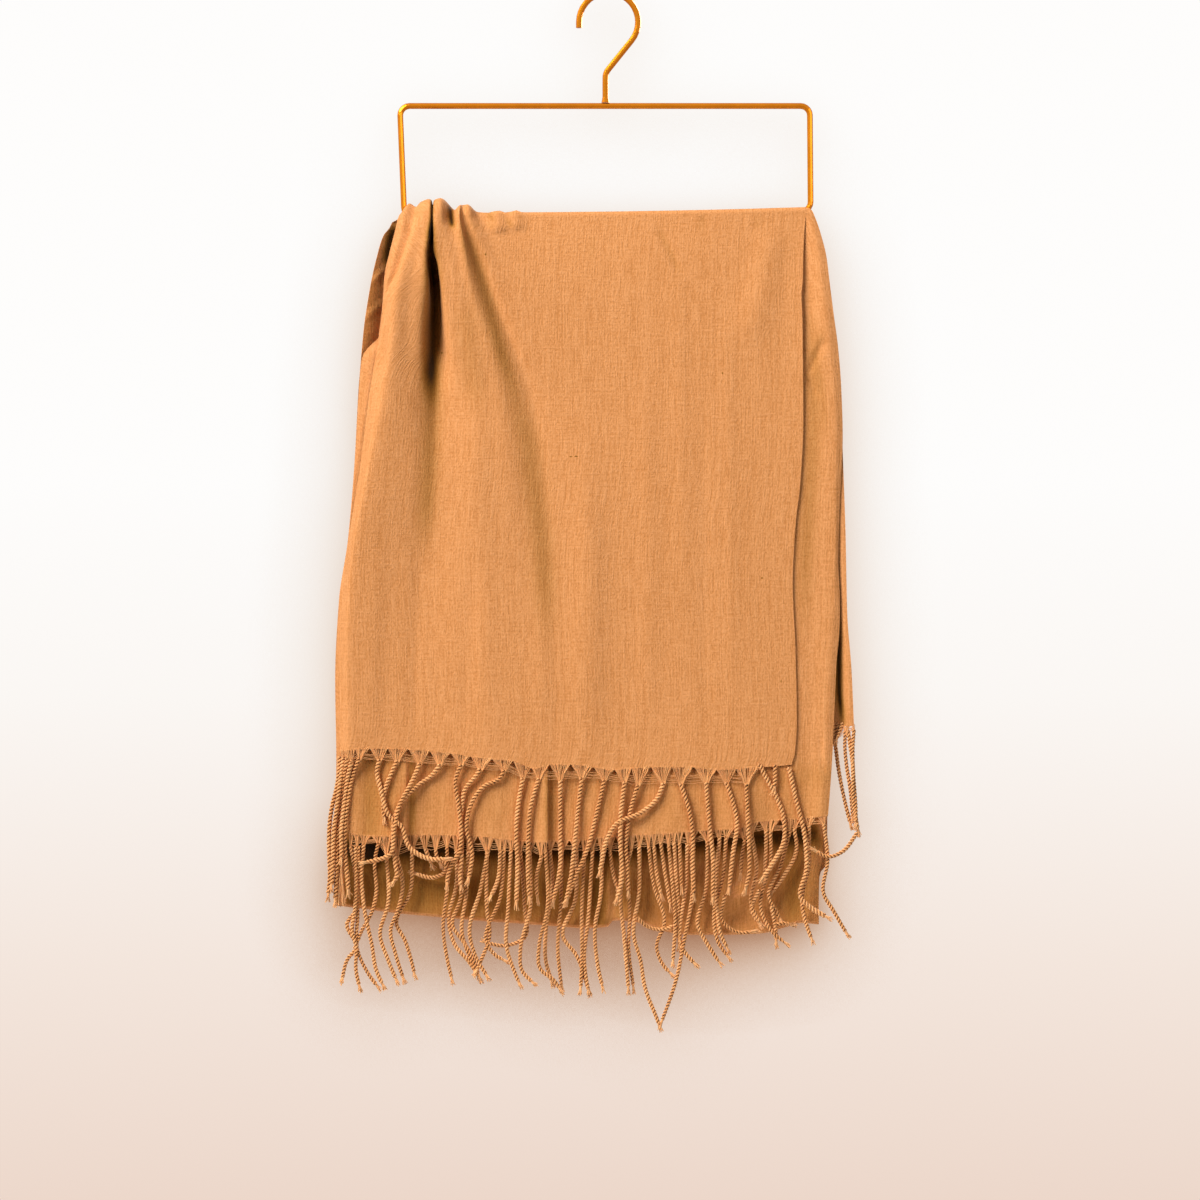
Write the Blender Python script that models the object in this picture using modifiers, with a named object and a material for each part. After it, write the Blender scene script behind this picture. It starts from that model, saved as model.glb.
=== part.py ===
"""Hijab shawl with a twisted fringe, folded and hung over the lower bar of a rectangular wire hanger.

Metres, +Z up, front towards -Y. The origin is the inner crest of the hook, where a rail bears on it.
Drops are measured down from the middle of the lower bar. The cloth is a stack of layers round that bar,
and each layer is a wall that stands out from the bar by its own radius and by the folds it shares.
"""

import math
from collections import namedtuple

import bmesh
import bpy
from mathutils import Vector

# Hanger: one bent and painted steel wire for the frame, another for the hook
WIRE_DIAMETER = 0.0045
WIRE_RADIUS = WIRE_DIAMETER / 2
HOOK_INNER_RADIUS = 0.0199
HOOK_TIP_LENGTH = 0.0043
HOOK_SWEEP_END = -38.8
STEM_X = -0.0023
STEM_BEND_RADIUS = 0.010
WELD_HEIGHT = 0.004
WELD_SWELL = 1.35
UPPER_LEFT = (-0.1562, -0.0829)
UPPER_RIGHT = (0.1510, -0.0829)
LOWER_LEFT = (-0.1534, -0.1660)
LOWER_RIGHT = (0.1515, -0.1620)
FRAME_BEND_RADIUS = 0.007
BAR_SAG = 0.0015
BAR_STEPS = 8
BEND_STEPS = 5
ARC_STEPS = 22
WIRE_ROUNDING = 3

# Cloth: walls, the gap at a seam, and the radius of each layer's middle round the bar
GAP = 0.0003
WALL = 0.001
FRINGE_WALL = 0.0014
THIRD_RADIUS = WIRE_RADIUS + GAP + WALL / 2
SECOND_RADIUS = THIRD_RADIUS + WALL + GAP
FRONT_RADIUS = SECOND_RADIUS + WALL + GAP
BIGHT_RADIUS = 0.0026
BAR_MIDDLE = -0.1655
LEVEL_DROP = 0.10
QUARTER_TURN = 0.009
TURN_ROWS = 6
BIGHT_ROWS = 4
ROW_GROWTH = 1.6

COPPER_PAINT = (0.56, 0.19, 0.015, 1.0)
TAN_CLOTH = (0.77, 0.33, 0.11, 1.0)
TAN_FRINGE = (0.66, 0.29, 0.10, 1.0)

# A fold line runs down a panel: its X and how far it stands out, at each of the panel's stations,
# the drop of the hem under it, and the number of mesh columns up to the next line.
Line = namedtuple("Line", "name columns hem across out")

# Stations of the front: crest of the bar, bar level, then 20, 50, 150, 250 and 420 mm down
FRONT_STATIONS = (-QUARTER_TURN, 0.0, 0.020, 0.050, 0.150, 0.250, 0.420)
FRONT_LINES = (
    Line("left edge", 1, 0.403,
         (-0.1493, -0.1562, -0.1614, -0.1679, -0.1789, -0.1954, -0.2014),
         (0.0010, 0.0010, 0.0020, 0.0020, 0.0020, 0.0020, 0.0020)),
    Line("first ridge", 1, 0.403,
         (-0.1473, -0.1507, -0.1556, -0.1648, -0.1759, -0.1930, -0.1996),
         (0.0035, 0.0040, 0.0060, 0.0060, 0.0045, 0.0035, 0.0030)),
    Line("first crease", 2, 0.404,
         (-0.1440, -0.1444, -0.1489, -0.1618, -0.1735, -0.1910, -0.1980),
         (0.0000, 0.0010, 0.0035, 0.0055, 0.0060, 0.0045, 0.0035)),
    Line("second ridge", 3, 0.405,
         (-0.1355, -0.1365, -0.1436, -0.1550, -0.1680, -0.1860, -0.1940),
         (0.0070, 0.0090, 0.0130, 0.0160, 0.0150, 0.0110, 0.0060)),
    Line("deep gap", 3, 0.408,
         (-0.1313, -0.1316, -0.1320, -0.1305, -0.1316, -0.1345, -0.1365),
         (0.0040, 0.0040, 0.0040, 0.0040, 0.0060, 0.0060, 0.0040)),
    Line("third ridge", 2, 0.408,
         (-0.1243, -0.1243, -0.1226, -0.1180, -0.1110, -0.1100, -0.1100),
         (0.0072, 0.0085, 0.0120, 0.0140, 0.0125, 0.0095, 0.0055)),
    Line("pocket", 2, 0.410,
         (-0.1148, -0.1160, -0.1144, -0.1085, -0.0994, -0.0979, -0.0979),
         (-0.0003, 0.0020, 0.0060, 0.0105, 0.0110, 0.0085, 0.0050)),
    Line("fourth ridge", 3, 0.412,
         (-0.1075, -0.1105, -0.1084, -0.1015, -0.0859, -0.0814, -0.0814),
         (0.0035, 0.0055, 0.0085, 0.0115, 0.0115, 0.0090, 0.0050)),
    Line("diagonal hollow", 3, 0.417,
         (-0.0990, -0.1030, -0.1010, -0.0930, -0.0701, -0.0500, -0.0424),
         (0.0005, 0.0020, 0.0035, 0.0045, 0.0060, 0.0060, 0.0045)),
    Line("field", 3, 0.417,
         (0.0236, 0.0236, 0.0236, 0.0236, 0.0236, 0.0236, 0.0236),
         (0.0000, 0.0005, 0.0012, 0.0025, 0.0050, 0.0060, 0.0050)),
    Line("right hollow", 2, 0.414,
         (0.1249, 0.1249, 0.1249, 0.1249, 0.1249, 0.1249, 0.1220),
         (0.0000, 0.0002, 0.0007, 0.0015, 0.0025, 0.0030, 0.0030)),
    Line("right edge", 0, 0.412,
         (0.1470, 0.1476, 0.1466, 0.1448, 0.1439, 0.1405, 0.1369),
         (0.0000, 0.0005, 0.0012, 0.0025, 0.0045, 0.0050, 0.0045)),
)

# Stations of the back: bar level, then 20, 50, 150, 300 and 530 mm down
BACK_STATIONS = (0.0, 0.020, 0.050, 0.150, 0.300, 0.530)
BACK_LINES = (
    Line("left edge", 2, 0.518,
         (-0.1493, -0.1729, -0.1786, -0.1890, -0.2045, -0.2014),
         (0.0010, 0.0010, 0.0015, 0.0020, 0.0020, 0.0020)),
    Line("first ridge", 2, 0.521,
         (-0.1430, -0.1600, -0.1660, -0.1760, -0.1850, -0.1830),
         (0.0040, 0.0090, 0.0110, 0.0100, 0.0080, 0.0050)),
    Line("first hollow", 2, 0.524,
         (-0.1360, -0.1500, -0.1540, -0.1600, -0.1640, -0.1600),
         (0.0010, 0.0030, 0.0040, 0.0040, 0.0040, 0.0030)),
    Line("second ridge", 2, 0.527,
         (-0.1270, -0.1370, -0.1390, -0.1400, -0.1380, -0.1340),
         (0.0060, 0.0110, 0.0130, 0.0120, 0.0090, 0.0060)),
    Line("second hollow", 2, 0.530,
         (-0.1180, -0.1220, -0.1210, -0.1180, -0.1100, -0.1040),
         (0.0010, 0.0030, 0.0040, 0.0050, 0.0050, 0.0040)),
    Line("third ridge", 2, 0.532,
         (-0.1080, -0.1080, -0.1050, -0.0960, -0.0840, -0.0760),
         (0.0030, 0.0070, 0.0090, 0.0090, 0.0080, 0.0050)),
    Line("third hollow", 2, 0.534,
         (-0.0900, -0.0880, -0.0830, -0.0680, -0.0480, -0.0380),
         (0.0000, 0.0010, 0.0020, 0.0030, 0.0040, 0.0030)),
    Line("field", 3, 0.531,
         (-0.0100, -0.0100, -0.0100, 0.0000, 0.0100, 0.0100),
         (0.0000, 0.0005, 0.0015, 0.0040, 0.0060, 0.0040)),
    Line("right ridge", 3, 0.540,
         (0.0700, 0.0700, 0.0700, 0.0720, 0.0750, 0.0750),
         (0.0000, 0.0005, 0.0015, 0.0030, 0.0040, 0.0050)),
    Line("right hollow", 2, 0.538,
         (0.1150, 0.1170, 0.1180, 0.1200, 0.1200, 0.1200),
         (0.0000, 0.0005, 0.0010, 0.0020, 0.0025, 0.0030)),
    Line("right edge", 0, 0.532,
         (0.1465, 0.1560, 0.1620, 0.1690, 0.1685, 0.1600),
         (0.0000, 0.0010, 0.0020, 0.0030, 0.0030, 0.0030)),
)

# A plain panel's outline: drop, left edge and right edge of each section
Section = namedtuple("Section", "drop left right")
SECOND_SECTIONS = (
    Section(-QUARTER_TURN, -0.1440, 0.1462),
    Section(0.000, -0.1455, 0.1531),
    Section(0.020, -0.1500, 0.1597),
    Section(0.050, -0.1570, 0.1652),
    Section(0.150, -0.1777, 0.1754),
    Section(0.250, -0.1915, 0.1744),
    Section(0.470, -0.1946, 0.1639),
)
THIRD_SECTIONS = (
    Section(-QUARTER_TURN, -0.1414, 0.1440),
    Section(0.000, -0.1414, 0.1459),
    Section(0.020, -0.1445, 0.1540),
    Section(0.050, -0.1480, 0.1610),
    Section(0.150, -0.1680, 0.1722),
    Section(0.250, -0.1862, 0.1772),
    Section(0.380, -0.1924, 0.1834),
)
INNER_SECTIONS = (
    Section(0.000, -0.1440, 0.1459),
    Section(0.063, -0.1474, 0.1631),
    Section(0.077, -0.1579, 0.1646),
    Section(0.088, -0.1691, 0.1658),
    Section(0.106, -0.1852, 0.1669),
    Section(0.150, -0.1890, 0.1690),
    Section(0.300, -0.2045, 0.1685),
    Section(0.530, -0.2014, 0.1600),
)

# A lower edge: share of the way across from the left, and the drop there
Edge = namedtuple("Edge", "across drop")
SECOND_HEM = (
    Edge(0.00, 0.469), Edge(0.30, 0.473), Edge(0.42, 0.476), Edge(0.55, 0.473),
    Edge(0.70, 0.467), Edge(0.88, 0.458), Edge(1.00, 0.450),
)
THIRD_HEM = (
    Edge(0.00, 0.419), Edge(0.72, 0.419), Edge(0.86, 0.412), Edge(0.93, 0.397),
    Edge(0.965, 0.383), Edge(1.00, 0.382),
)
FRONT_REACH = (
    Edge(0.00, 0.516), Edge(0.05, 0.515), Edge(0.13, 0.504), Edge(0.25, 0.502), Edge(0.38, 0.516),
    Edge(0.52, 0.515), Edge(0.65, 0.507), Edge(0.76, 0.511), Edge(0.90, 0.501), Edge(1.00, 0.498),
)
SECOND_REACH = (
    Edge(0.00, 0.575), Edge(0.09, 0.579), Edge(0.23, 0.575), Edge(0.37, 0.578), Edge(0.54, 0.582),
    Edge(0.66, 0.610), Edge(0.70, 0.577), Edge(0.80, 0.562), Edge(0.91, 0.547), Edge(1.00, 0.544),
)
THIRD_REACH = (
    Edge(0.00, 0.507), Edge(0.40, 0.512), Edge(0.70, 0.509), Edge(0.90, 0.498),
    Edge(0.95, 0.466), Edge(1.00, 0.462),
)

# Pleats of the second panel: X at the bar, X at the hem, half width, how far out, and the drop where it starts
Pleat = namedtuple("Pleat", "name x_bar x_hem half_width out start")
SECOND_PLEATS = (
    Pleat("left roll", -0.150, -0.152, 0.030, 0.0020, 0.25),
    Pleat("middle step", -0.050, -0.054, 0.022, 0.0022, 0.25),
    Pleat("side roll", 0.150, 0.157, 0.016, 0.0030, -0.01),
)
SECOND_SHARE = 0.22
THIRD_SHARE = 0.10
INNER_SHARE = 0.50
INNER_STAND_OFF = 0.001
SECOND_COLUMNS = 20
SECOND_ROWS = 16
THIRD_COLUMNS = 12
THIRD_ROWS = 12
INNER_ROWS = 16
FRONT_ROWS = 18
BACK_ROWS = 18
FRINGE_ROWS = 2
FRINGE_SPLAY = 0.012


def clear_scene():
    for obj in list(bpy.data.objects):
        bpy.data.objects.remove(obj, do_unlink=True)


def paint(name, colour, roughness, metallic):
    material = bpy.data.materials.new(name)
    material.use_nodes = True
    shader = material.node_tree.nodes["Principled BSDF"]
    shader.inputs["Base Color"].default_value = colour
    shader.inputs["Roughness"].default_value = roughness
    shader.inputs["Metallic"].default_value = metallic
    material.diffuse_color = colour
    return material


def smooth_between(places, values, at):
    """Value at a place, on a cubic through the given values that never overshoots them."""
    if at <= places[0]:
        return values[0]
    if at >= places[-1]:
        return values[-1]
    slopes = []
    for i in range(len(places) - 1):
        slopes.append((values[i + 1] - values[i]) / (places[i + 1] - places[i]))
    tangents = [slopes[0]]
    for before, after in zip(slopes, slopes[1:]):
        same_way = before * after > 0
        tangents.append(2 * before * after / (before + after) if same_way else 0.0)
    tangents.append(slopes[-1])
    i = max(k for k in range(len(places) - 1) if places[k] <= at)
    span = places[i + 1] - places[i]
    t = (at - places[i]) / span
    start = (1 + 2 * t) * (1 - t) ** 2 * values[i] + t * (1 - t) ** 2 * span * tangents[i]
    end = t * t * (3 - 2 * t) * values[i + 1] - t * t * (1 - t) * span * tangents[i + 1]
    return start + end


def ease(t):
    """0 to 1 with level ends."""
    t = min(1.0, max(0.0, t))
    return t * t * (3 - 2 * t)


# Wire hanger

def bar_height(x):
    """Z of the lower bar's middle line: it leans a little and sags under the cloth."""
    t = (x - LOWER_LEFT[0]) / (LOWER_RIGHT[0] - LOWER_LEFT[0])
    return LOWER_LEFT[1] * (1 - t) + LOWER_RIGHT[1] * t - 4 * BAR_SAG * t * (1 - t)


def arc(centre, radius, start, end, steps):
    """Points in the plane y = 0 along a circle, angles in degrees from +X towards +Z."""
    points = []
    for i in range(steps + 1):
        angle = math.radians(start + (end - start) * i / steps)
        points.append(Vector((centre[0] + radius * math.cos(angle), 0, centre[1] + radius * math.sin(angle))))
    return points


def wire(name, points, closed, material, collection):
    curve = bpy.data.curves.new(name, "CURVE")
    curve.dimensions = "3D"
    curve.bevel_depth = WIRE_RADIUS
    curve.bevel_resolution = WIRE_ROUNDING
    curve.use_fill_caps = not closed
    spline = curve.splines.new("POLY")
    spline.points.add(len(points) - 1)
    spline.use_cyclic_u = closed
    for point, place in zip(spline.points, points):
        point.co = (place.x, place.y, place.z, 1)
    curve.materials.append(material)
    obj = bpy.data.objects.new(name, curve)
    collection.objects.link(obj)
    return obj


def hanger_frame(material, collection):
    radius = FRAME_BEND_RADIUS
    points = arc((UPPER_LEFT[0] + radius, UPPER_LEFT[1] - radius), radius, 180, 90, BEND_STEPS)
    points += arc((UPPER_RIGHT[0] - radius, UPPER_RIGHT[1] - radius), radius, 90, 0, BEND_STEPS)
    points += arc((LOWER_RIGHT[0] - radius, LOWER_RIGHT[1] + radius), radius, 0, -90, BEND_STEPS)
    start = LOWER_RIGHT[0] - radius
    end = LOWER_LEFT[0] + radius
    for i in range(1, BAR_STEPS):
        x = start + (end - start) * i / BAR_STEPS
        points.append(Vector((x, 0, bar_height(x))))
    points += arc((LOWER_LEFT[0] + radius, LOWER_LEFT[1] + radius), radius, -90, -180, BEND_STEPS)
    return wire("hanger_frame", points, True, material, collection)


def hanger_hook(material, collection):
    """Question-mark hook: tip, round arch, slanting neck, bend and upright stem on the top bar."""
    middle = (0.0, -HOOK_INNER_RADIUS)
    radius = HOOK_INNER_RADIUS + WIRE_RADIUS
    points = [Vector((-radius, 0, middle[1] - HOOK_TIP_LENGTH))]
    points += arc(middle, radius, 180, HOOK_SWEEP_END, ARC_STEPS)
    neck_angle = math.radians(HOOK_SWEEP_END - 90)
    neck = Vector((math.cos(neck_angle), 0, math.sin(neck_angle)))
    corner = points[-1] + neck * ((STEM_X - points[-1].x) / neck.x)
    turn = -HOOK_SWEEP_END
    tangent = STEM_BEND_RADIUS * math.tan(math.radians(turn / 2))
    bend_centre = (STEM_X + STEM_BEND_RADIUS, corner.z - tangent)
    points += arc(bend_centre, STEM_BEND_RADIUS, 180 - turn, 180, BEND_STEPS)
    foot = UPPER_LEFT[1] + WIRE_RADIUS + GAP
    points.append(Vector((STEM_X, 0, foot + WELD_HEIGHT)))
    points.append(Vector((STEM_X, 0, foot)))
    obj = wire("hanger_hook", points, False, material, collection)
    obj.data.splines[0].points[-1].radius = WELD_SWELL
    return obj


# Cloth layers

def levelled_bar(x, drop):
    """Height that drops are measured from: the bar's own line near it, one level further down."""
    share = ease(drop / LEVEL_DROP)
    return bar_height(x) * (1 - share) + BAR_MIDDLE * share


def front_point(x, drop, radius, out):
    """A drop below zero wraps over the bar, a quarter turn to its crest and another to its rear."""
    reach = radius + out
    if drop >= 0:
        return Vector((x, -reach, levelled_bar(x, drop) - drop))
    angle = -drop / QUARTER_TURN * math.pi / 2
    return Vector((x, -reach * math.cos(angle), bar_height(x) + reach * math.sin(angle)))


def back_point(x, drop, radius, out):
    return Vector((x, radius + out, levelled_bar(x, drop) - drop))


def line_values(lines, stations, drop):
    """X and standing-out distance of every fold line at a drop."""
    across = [smooth_between(stations, line.across, drop) for line in lines]
    out = [smooth_between(stations, line.out, drop) for line in lines]
    return across, out


def out_at(lines, stations, x, drop):
    """How far the folds stand out at a place, rounded like a wave between one line and the next."""
    across, out = line_values(lines, stations, drop)
    if x <= across[0]:
        return out[0]
    for i in range(len(across) - 1):
        if x <= across[i + 1]:
            wave = ease((x - across[i]) / (across[i + 1] - across[i]))
            return out[i] * (1 - wave) + out[i + 1] * wave
    return out[-1]


def between_lines(lines, u):
    """The line left of a column and the share of the way to the next line."""
    column = u * sum(line.columns for line in lines)
    for i, line in enumerate(lines[:-1]):
        if column <= line.columns + 1e-6:
            return i, column / line.columns
        column -= line.columns
    return len(lines) - 2, 1.0


def folded_place(lines, stations, u, run):
    """X, drop and standing-out distance of a panel whose columns follow its fold lines."""
    i, share = between_lines(lines, u)
    hem = lines[i].hem * (1 - share) + lines[i + 1].hem * share
    drop = run * hem if run > 0 else run * QUARTER_TURN
    across, out = line_values(lines, stations, drop)
    wave = ease(share)
    x = across[i] * (1 - share) + across[i + 1] * share
    return x, drop, out[i] * (1 - wave) + out[i + 1] * wave


def outline_x(sections, u, drop):
    drops = [section.drop for section in sections]
    left = smooth_between(drops, [section.left for section in sections], drop)
    right = smooth_between(drops, [section.right for section in sections], drop)
    return left * (1 - u) + right * u


def edge_drop(edge, u):
    return smooth_between([point.across for point in edge], [point.drop for point in edge], u)


def cloth_wall(name, columns, rows, place, thickness, material, collection):
    """A grid laid on the layer's middle by place(u, v), made a wall by Solidify."""
    mesh = bpy.data.meshes.new(name)
    grid = bmesh.new()
    bmesh.ops.create_grid(grid, x_segments=columns, y_segments=rows, size=0.5)
    for vertex in grid.verts:
        vertex.co = place(vertex.co.x + 0.5, vertex.co.y + 0.5)
    grid.to_mesh(mesh)
    grid.free()
    mesh.shade_smooth()
    mesh.materials.append(material)
    obj = bpy.data.objects.new(name, mesh)
    collection.objects.link(obj)
    wall = obj.modifiers.new("Wall", "SOLIDIFY")
    wall.thickness = thickness
    wall.offset = 0
    return obj


def run_over_bar(v, rows):
    """Row position: from -2 at the rear of the bar, through 0 at its front, to 1 at the hem."""
    row = v * (TURN_ROWS + rows)
    if row < TURN_ROWS:
        return -2 * (1 - row / TURN_ROWS)
    return ((row - TURN_ROWS) / rows) ** ROW_GROWTH


def front_panel(material, collection):
    columns = sum(line.columns for line in FRONT_LINES)

    def place(u, v):
        x, drop, out = folded_place(FRONT_LINES, FRONT_STATIONS, u, run_over_bar(v, FRONT_ROWS))
        return front_point(x, drop, FRONT_RADIUS, out)

    cloth_wall("front_panel", columns, TURN_ROWS + FRONT_ROWS, place, WALL, material, collection)


def pleat_out(pleats, x, drop, hem):
    """Rounded pleats that grow from the drop where each one starts."""
    total = 0.0
    for pleat in pleats:
        middle = pleat.x_bar + (pleat.x_hem - pleat.x_bar) * max(0.0, drop) / hem
        distance = abs(x - middle) / pleat.half_width
        total += pleat.out * (1 - ease(distance)) * ease((drop - pleat.start) / LEVEL_DROP)
    return total


def second_place(u, drop):
    x = outline_x(SECOND_SECTIONS, u, drop)
    out = SECOND_SHARE * out_at(FRONT_LINES, FRONT_STATIONS, x, drop)
    out += pleat_out(SECOND_PLEATS, x, drop, SECOND_SECTIONS[-1].drop)
    return front_point(x, drop, SECOND_RADIUS, out)


def third_place(u, drop):
    x = outline_x(THIRD_SECTIONS, u, drop)
    out = THIRD_SHARE * out_at(FRONT_LINES, FRONT_STATIONS, x, drop)
    return front_point(x, drop, THIRD_RADIUS, out)


def plain_panel(name, columns, rows, layer, hem, material, collection):
    """A layer behind the front one, from the rear of the bar down to its own hem."""

    def place(u, v):
        run = run_over_bar(v, rows)
        return layer(u, run * edge_drop(hem, u) if run > 0 else run * QUARTER_TURN)

    cloth_wall(name, columns, TURN_ROWS + rows, place, WALL, material, collection)


def back_outer(material, collection):
    """The rear wall, from just under the front panel's end down to the fold and round it."""
    columns = sum(line.columns for line in BACK_LINES)

    def place(u, v):
        row = v * (BACK_ROWS + BIGHT_ROWS)
        run = min(1.0, row / BACK_ROWS) ** ROW_GROWTH
        x, drop, out = folded_place(BACK_LINES, BACK_STATIONS, u, run)
        point = back_point(x, max(drop - BIGHT_RADIUS, 2 * GAP), FRONT_RADIUS, out)
        if row > BACK_ROWS:
            angle = (row - BACK_ROWS) / BIGHT_ROWS * math.pi
            point.y -= BIGHT_RADIUS * (1 - math.cos(angle))
            point.z -= BIGHT_RADIUS * math.sin(angle)
        return point

    cloth_wall("back_outer", columns, BACK_ROWS + BIGHT_ROWS, place, WALL, material, collection)


def back_inner(material, collection):
    """The inner rear wall, from just under the second panel's end down to the bight, in the rear wall's columns."""

    def place(u, v):
        foot_x, hem, _ = folded_place(BACK_LINES, BACK_STATIONS, u, 1.0)
        drop = 2 * GAP + (hem - BIGHT_RADIUS - 3 * GAP) * v ** ROW_GROWTH
        across, _ = line_values(BACK_LINES, BACK_STATIONS, drop)
        i, share = between_lines(BACK_LINES, u)
        outer_x = across[i] * (1 - share) + across[i + 1] * share
        inner_x = outline_x(INNER_SECTIONS, (outer_x - across[0]) / (across[-1] - across[0]), drop)
        x = inner_x + (foot_x - inner_x) * ease(2 * v - 1)
        out = out_at(BACK_LINES, BACK_STATIONS, x, drop)
        stand_off = INNER_STAND_OFF * ease(drop / INNER_SECTIONS[1].drop)
        upper = back_point(x, drop, SECOND_RADIUS - stand_off, INNER_SHARE * out)
        lower = back_point(x, drop, FRONT_RADIUS - 2 * BIGHT_RADIUS, out)
        return upper.lerp(lower, ease(v))

    columns = sum(line.columns for line in BACK_LINES)
    cloth_wall("back_inner", columns, INNER_ROWS, place, WALL, material, collection)


def fringe(name, columns, hem_place, reach, material, collection):
    """The thin solid that a row of cords fills, from just under a hem down to the longest cords."""

    def place(u, v):
        point = hem_place(u)
        top = BAR_MIDDLE - point.z
        point.z -= GAP + (edge_drop(reach, u) - top - GAP) * v
        point.x += (u - 0.5) * FRINGE_SPLAY * v
        return point

    cloth_wall(name, columns, FRINGE_ROWS, place, FRINGE_WALL, material, collection)


def fringes(material, collection):
    def front_hem(u):
        x, drop, out = folded_place(FRONT_LINES, FRONT_STATIONS, u, 1.0)
        return front_point(x, drop, FRONT_RADIUS, out)

    def second_hem(u):
        return second_place(u, edge_drop(SECOND_HEM, u))

    def third_hem(u):
        return third_place(u, edge_drop(THIRD_HEM, u))

    front_columns = sum(line.columns for line in FRONT_LINES)
    fringe("fringe_front", front_columns, front_hem, FRONT_REACH, material, collection)
    fringe("fringe_second", SECOND_COLUMNS, second_hem, SECOND_REACH, material, collection)
    fringe("fringe_third", THIRD_COLUMNS, third_hem, THIRD_REACH, material, collection)


def main():
    clear_scene()
    collection = bpy.data.collections.new("hijab_on_hanger")
    bpy.context.scene.collection.children.link(collection)
    painted_wire = paint("painted_wire", COPPER_PAINT, 0.3, 0.6)
    cloth = paint("tan_cloth", TAN_CLOTH, 0.8, 0.0)
    fringe_yarn = paint("fringe_yarn", TAN_FRINGE, 0.85, 0.0)
    hanger_frame(painted_wire, collection)
    hanger_hook(painted_wire, collection)
    front_panel(cloth, collection)
    plain_panel("second_panel", SECOND_COLUMNS, SECOND_ROWS, second_place, SECOND_HEM, cloth, collection)
    plain_panel("third_panel", THIRD_COLUMNS, THIRD_ROWS, third_place, THIRD_HEM, cloth, collection)
    back_outer(cloth, collection)
    back_inner(cloth, collection)
    fringes(fringe_yarn, collection)


main()
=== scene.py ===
"""Looks of a fringed hijab shawl, folded and hung over the lower bar of a painted wire hanger.

Metres, +Z up, front towards -Y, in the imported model's frame. Tables are in millimetres.
Drops are measured down from the middle of the lower bar.
"""

import math
from collections import namedtuple

import bmesh
import bpy
import numpy as np
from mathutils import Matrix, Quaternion, Vector
from mathutils.bvhtree import BVHTree


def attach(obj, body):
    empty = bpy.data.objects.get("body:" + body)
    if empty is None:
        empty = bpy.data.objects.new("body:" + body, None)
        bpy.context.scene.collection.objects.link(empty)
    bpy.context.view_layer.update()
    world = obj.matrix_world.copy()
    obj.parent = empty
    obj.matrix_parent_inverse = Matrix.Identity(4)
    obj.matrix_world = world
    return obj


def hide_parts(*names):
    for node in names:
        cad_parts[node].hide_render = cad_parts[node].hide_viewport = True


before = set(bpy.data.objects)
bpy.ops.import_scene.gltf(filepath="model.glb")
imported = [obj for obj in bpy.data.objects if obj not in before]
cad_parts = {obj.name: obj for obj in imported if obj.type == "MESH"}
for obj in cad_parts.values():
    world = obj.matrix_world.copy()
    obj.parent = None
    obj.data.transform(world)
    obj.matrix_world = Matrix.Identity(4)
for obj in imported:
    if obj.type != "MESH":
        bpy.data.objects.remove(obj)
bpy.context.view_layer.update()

MM = 0.001

# Hanger bar, as the part's source has it
WIRE_RADIUS = 0.00225
LOWER_LEFT = (-0.1534, -0.1660)
LOWER_RIGHT = (0.1515, -0.1620)
BAR_SAG = 0.0015
BAR_MIDDLE = -0.1655
LEVEL_DROP = 0.10
QUARTER_TURN = 0.009

# Cloth: thickness, and the radius of each layer's middle round the bar
CLOTH = 0.00035
THIRD_RADIUS = WIRE_RADIUS + 0.00025
SECOND_RADIUS = THIRD_RADIUS + CLOTH
FRONT_RADIUS = SECOND_RADIUS + CLOTH
REAR_RADIUS = FRONT_RADIUS + 2 * CLOTH
BIGHT_RADIUS = 0.0030
SHARP_ANGLE = math.radians(50)

# A fold line runs down a panel: mesh columns up to the next line, then (drop, X, stand-off) at its places
Line = namedtuple("Line", "name columns places")

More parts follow.
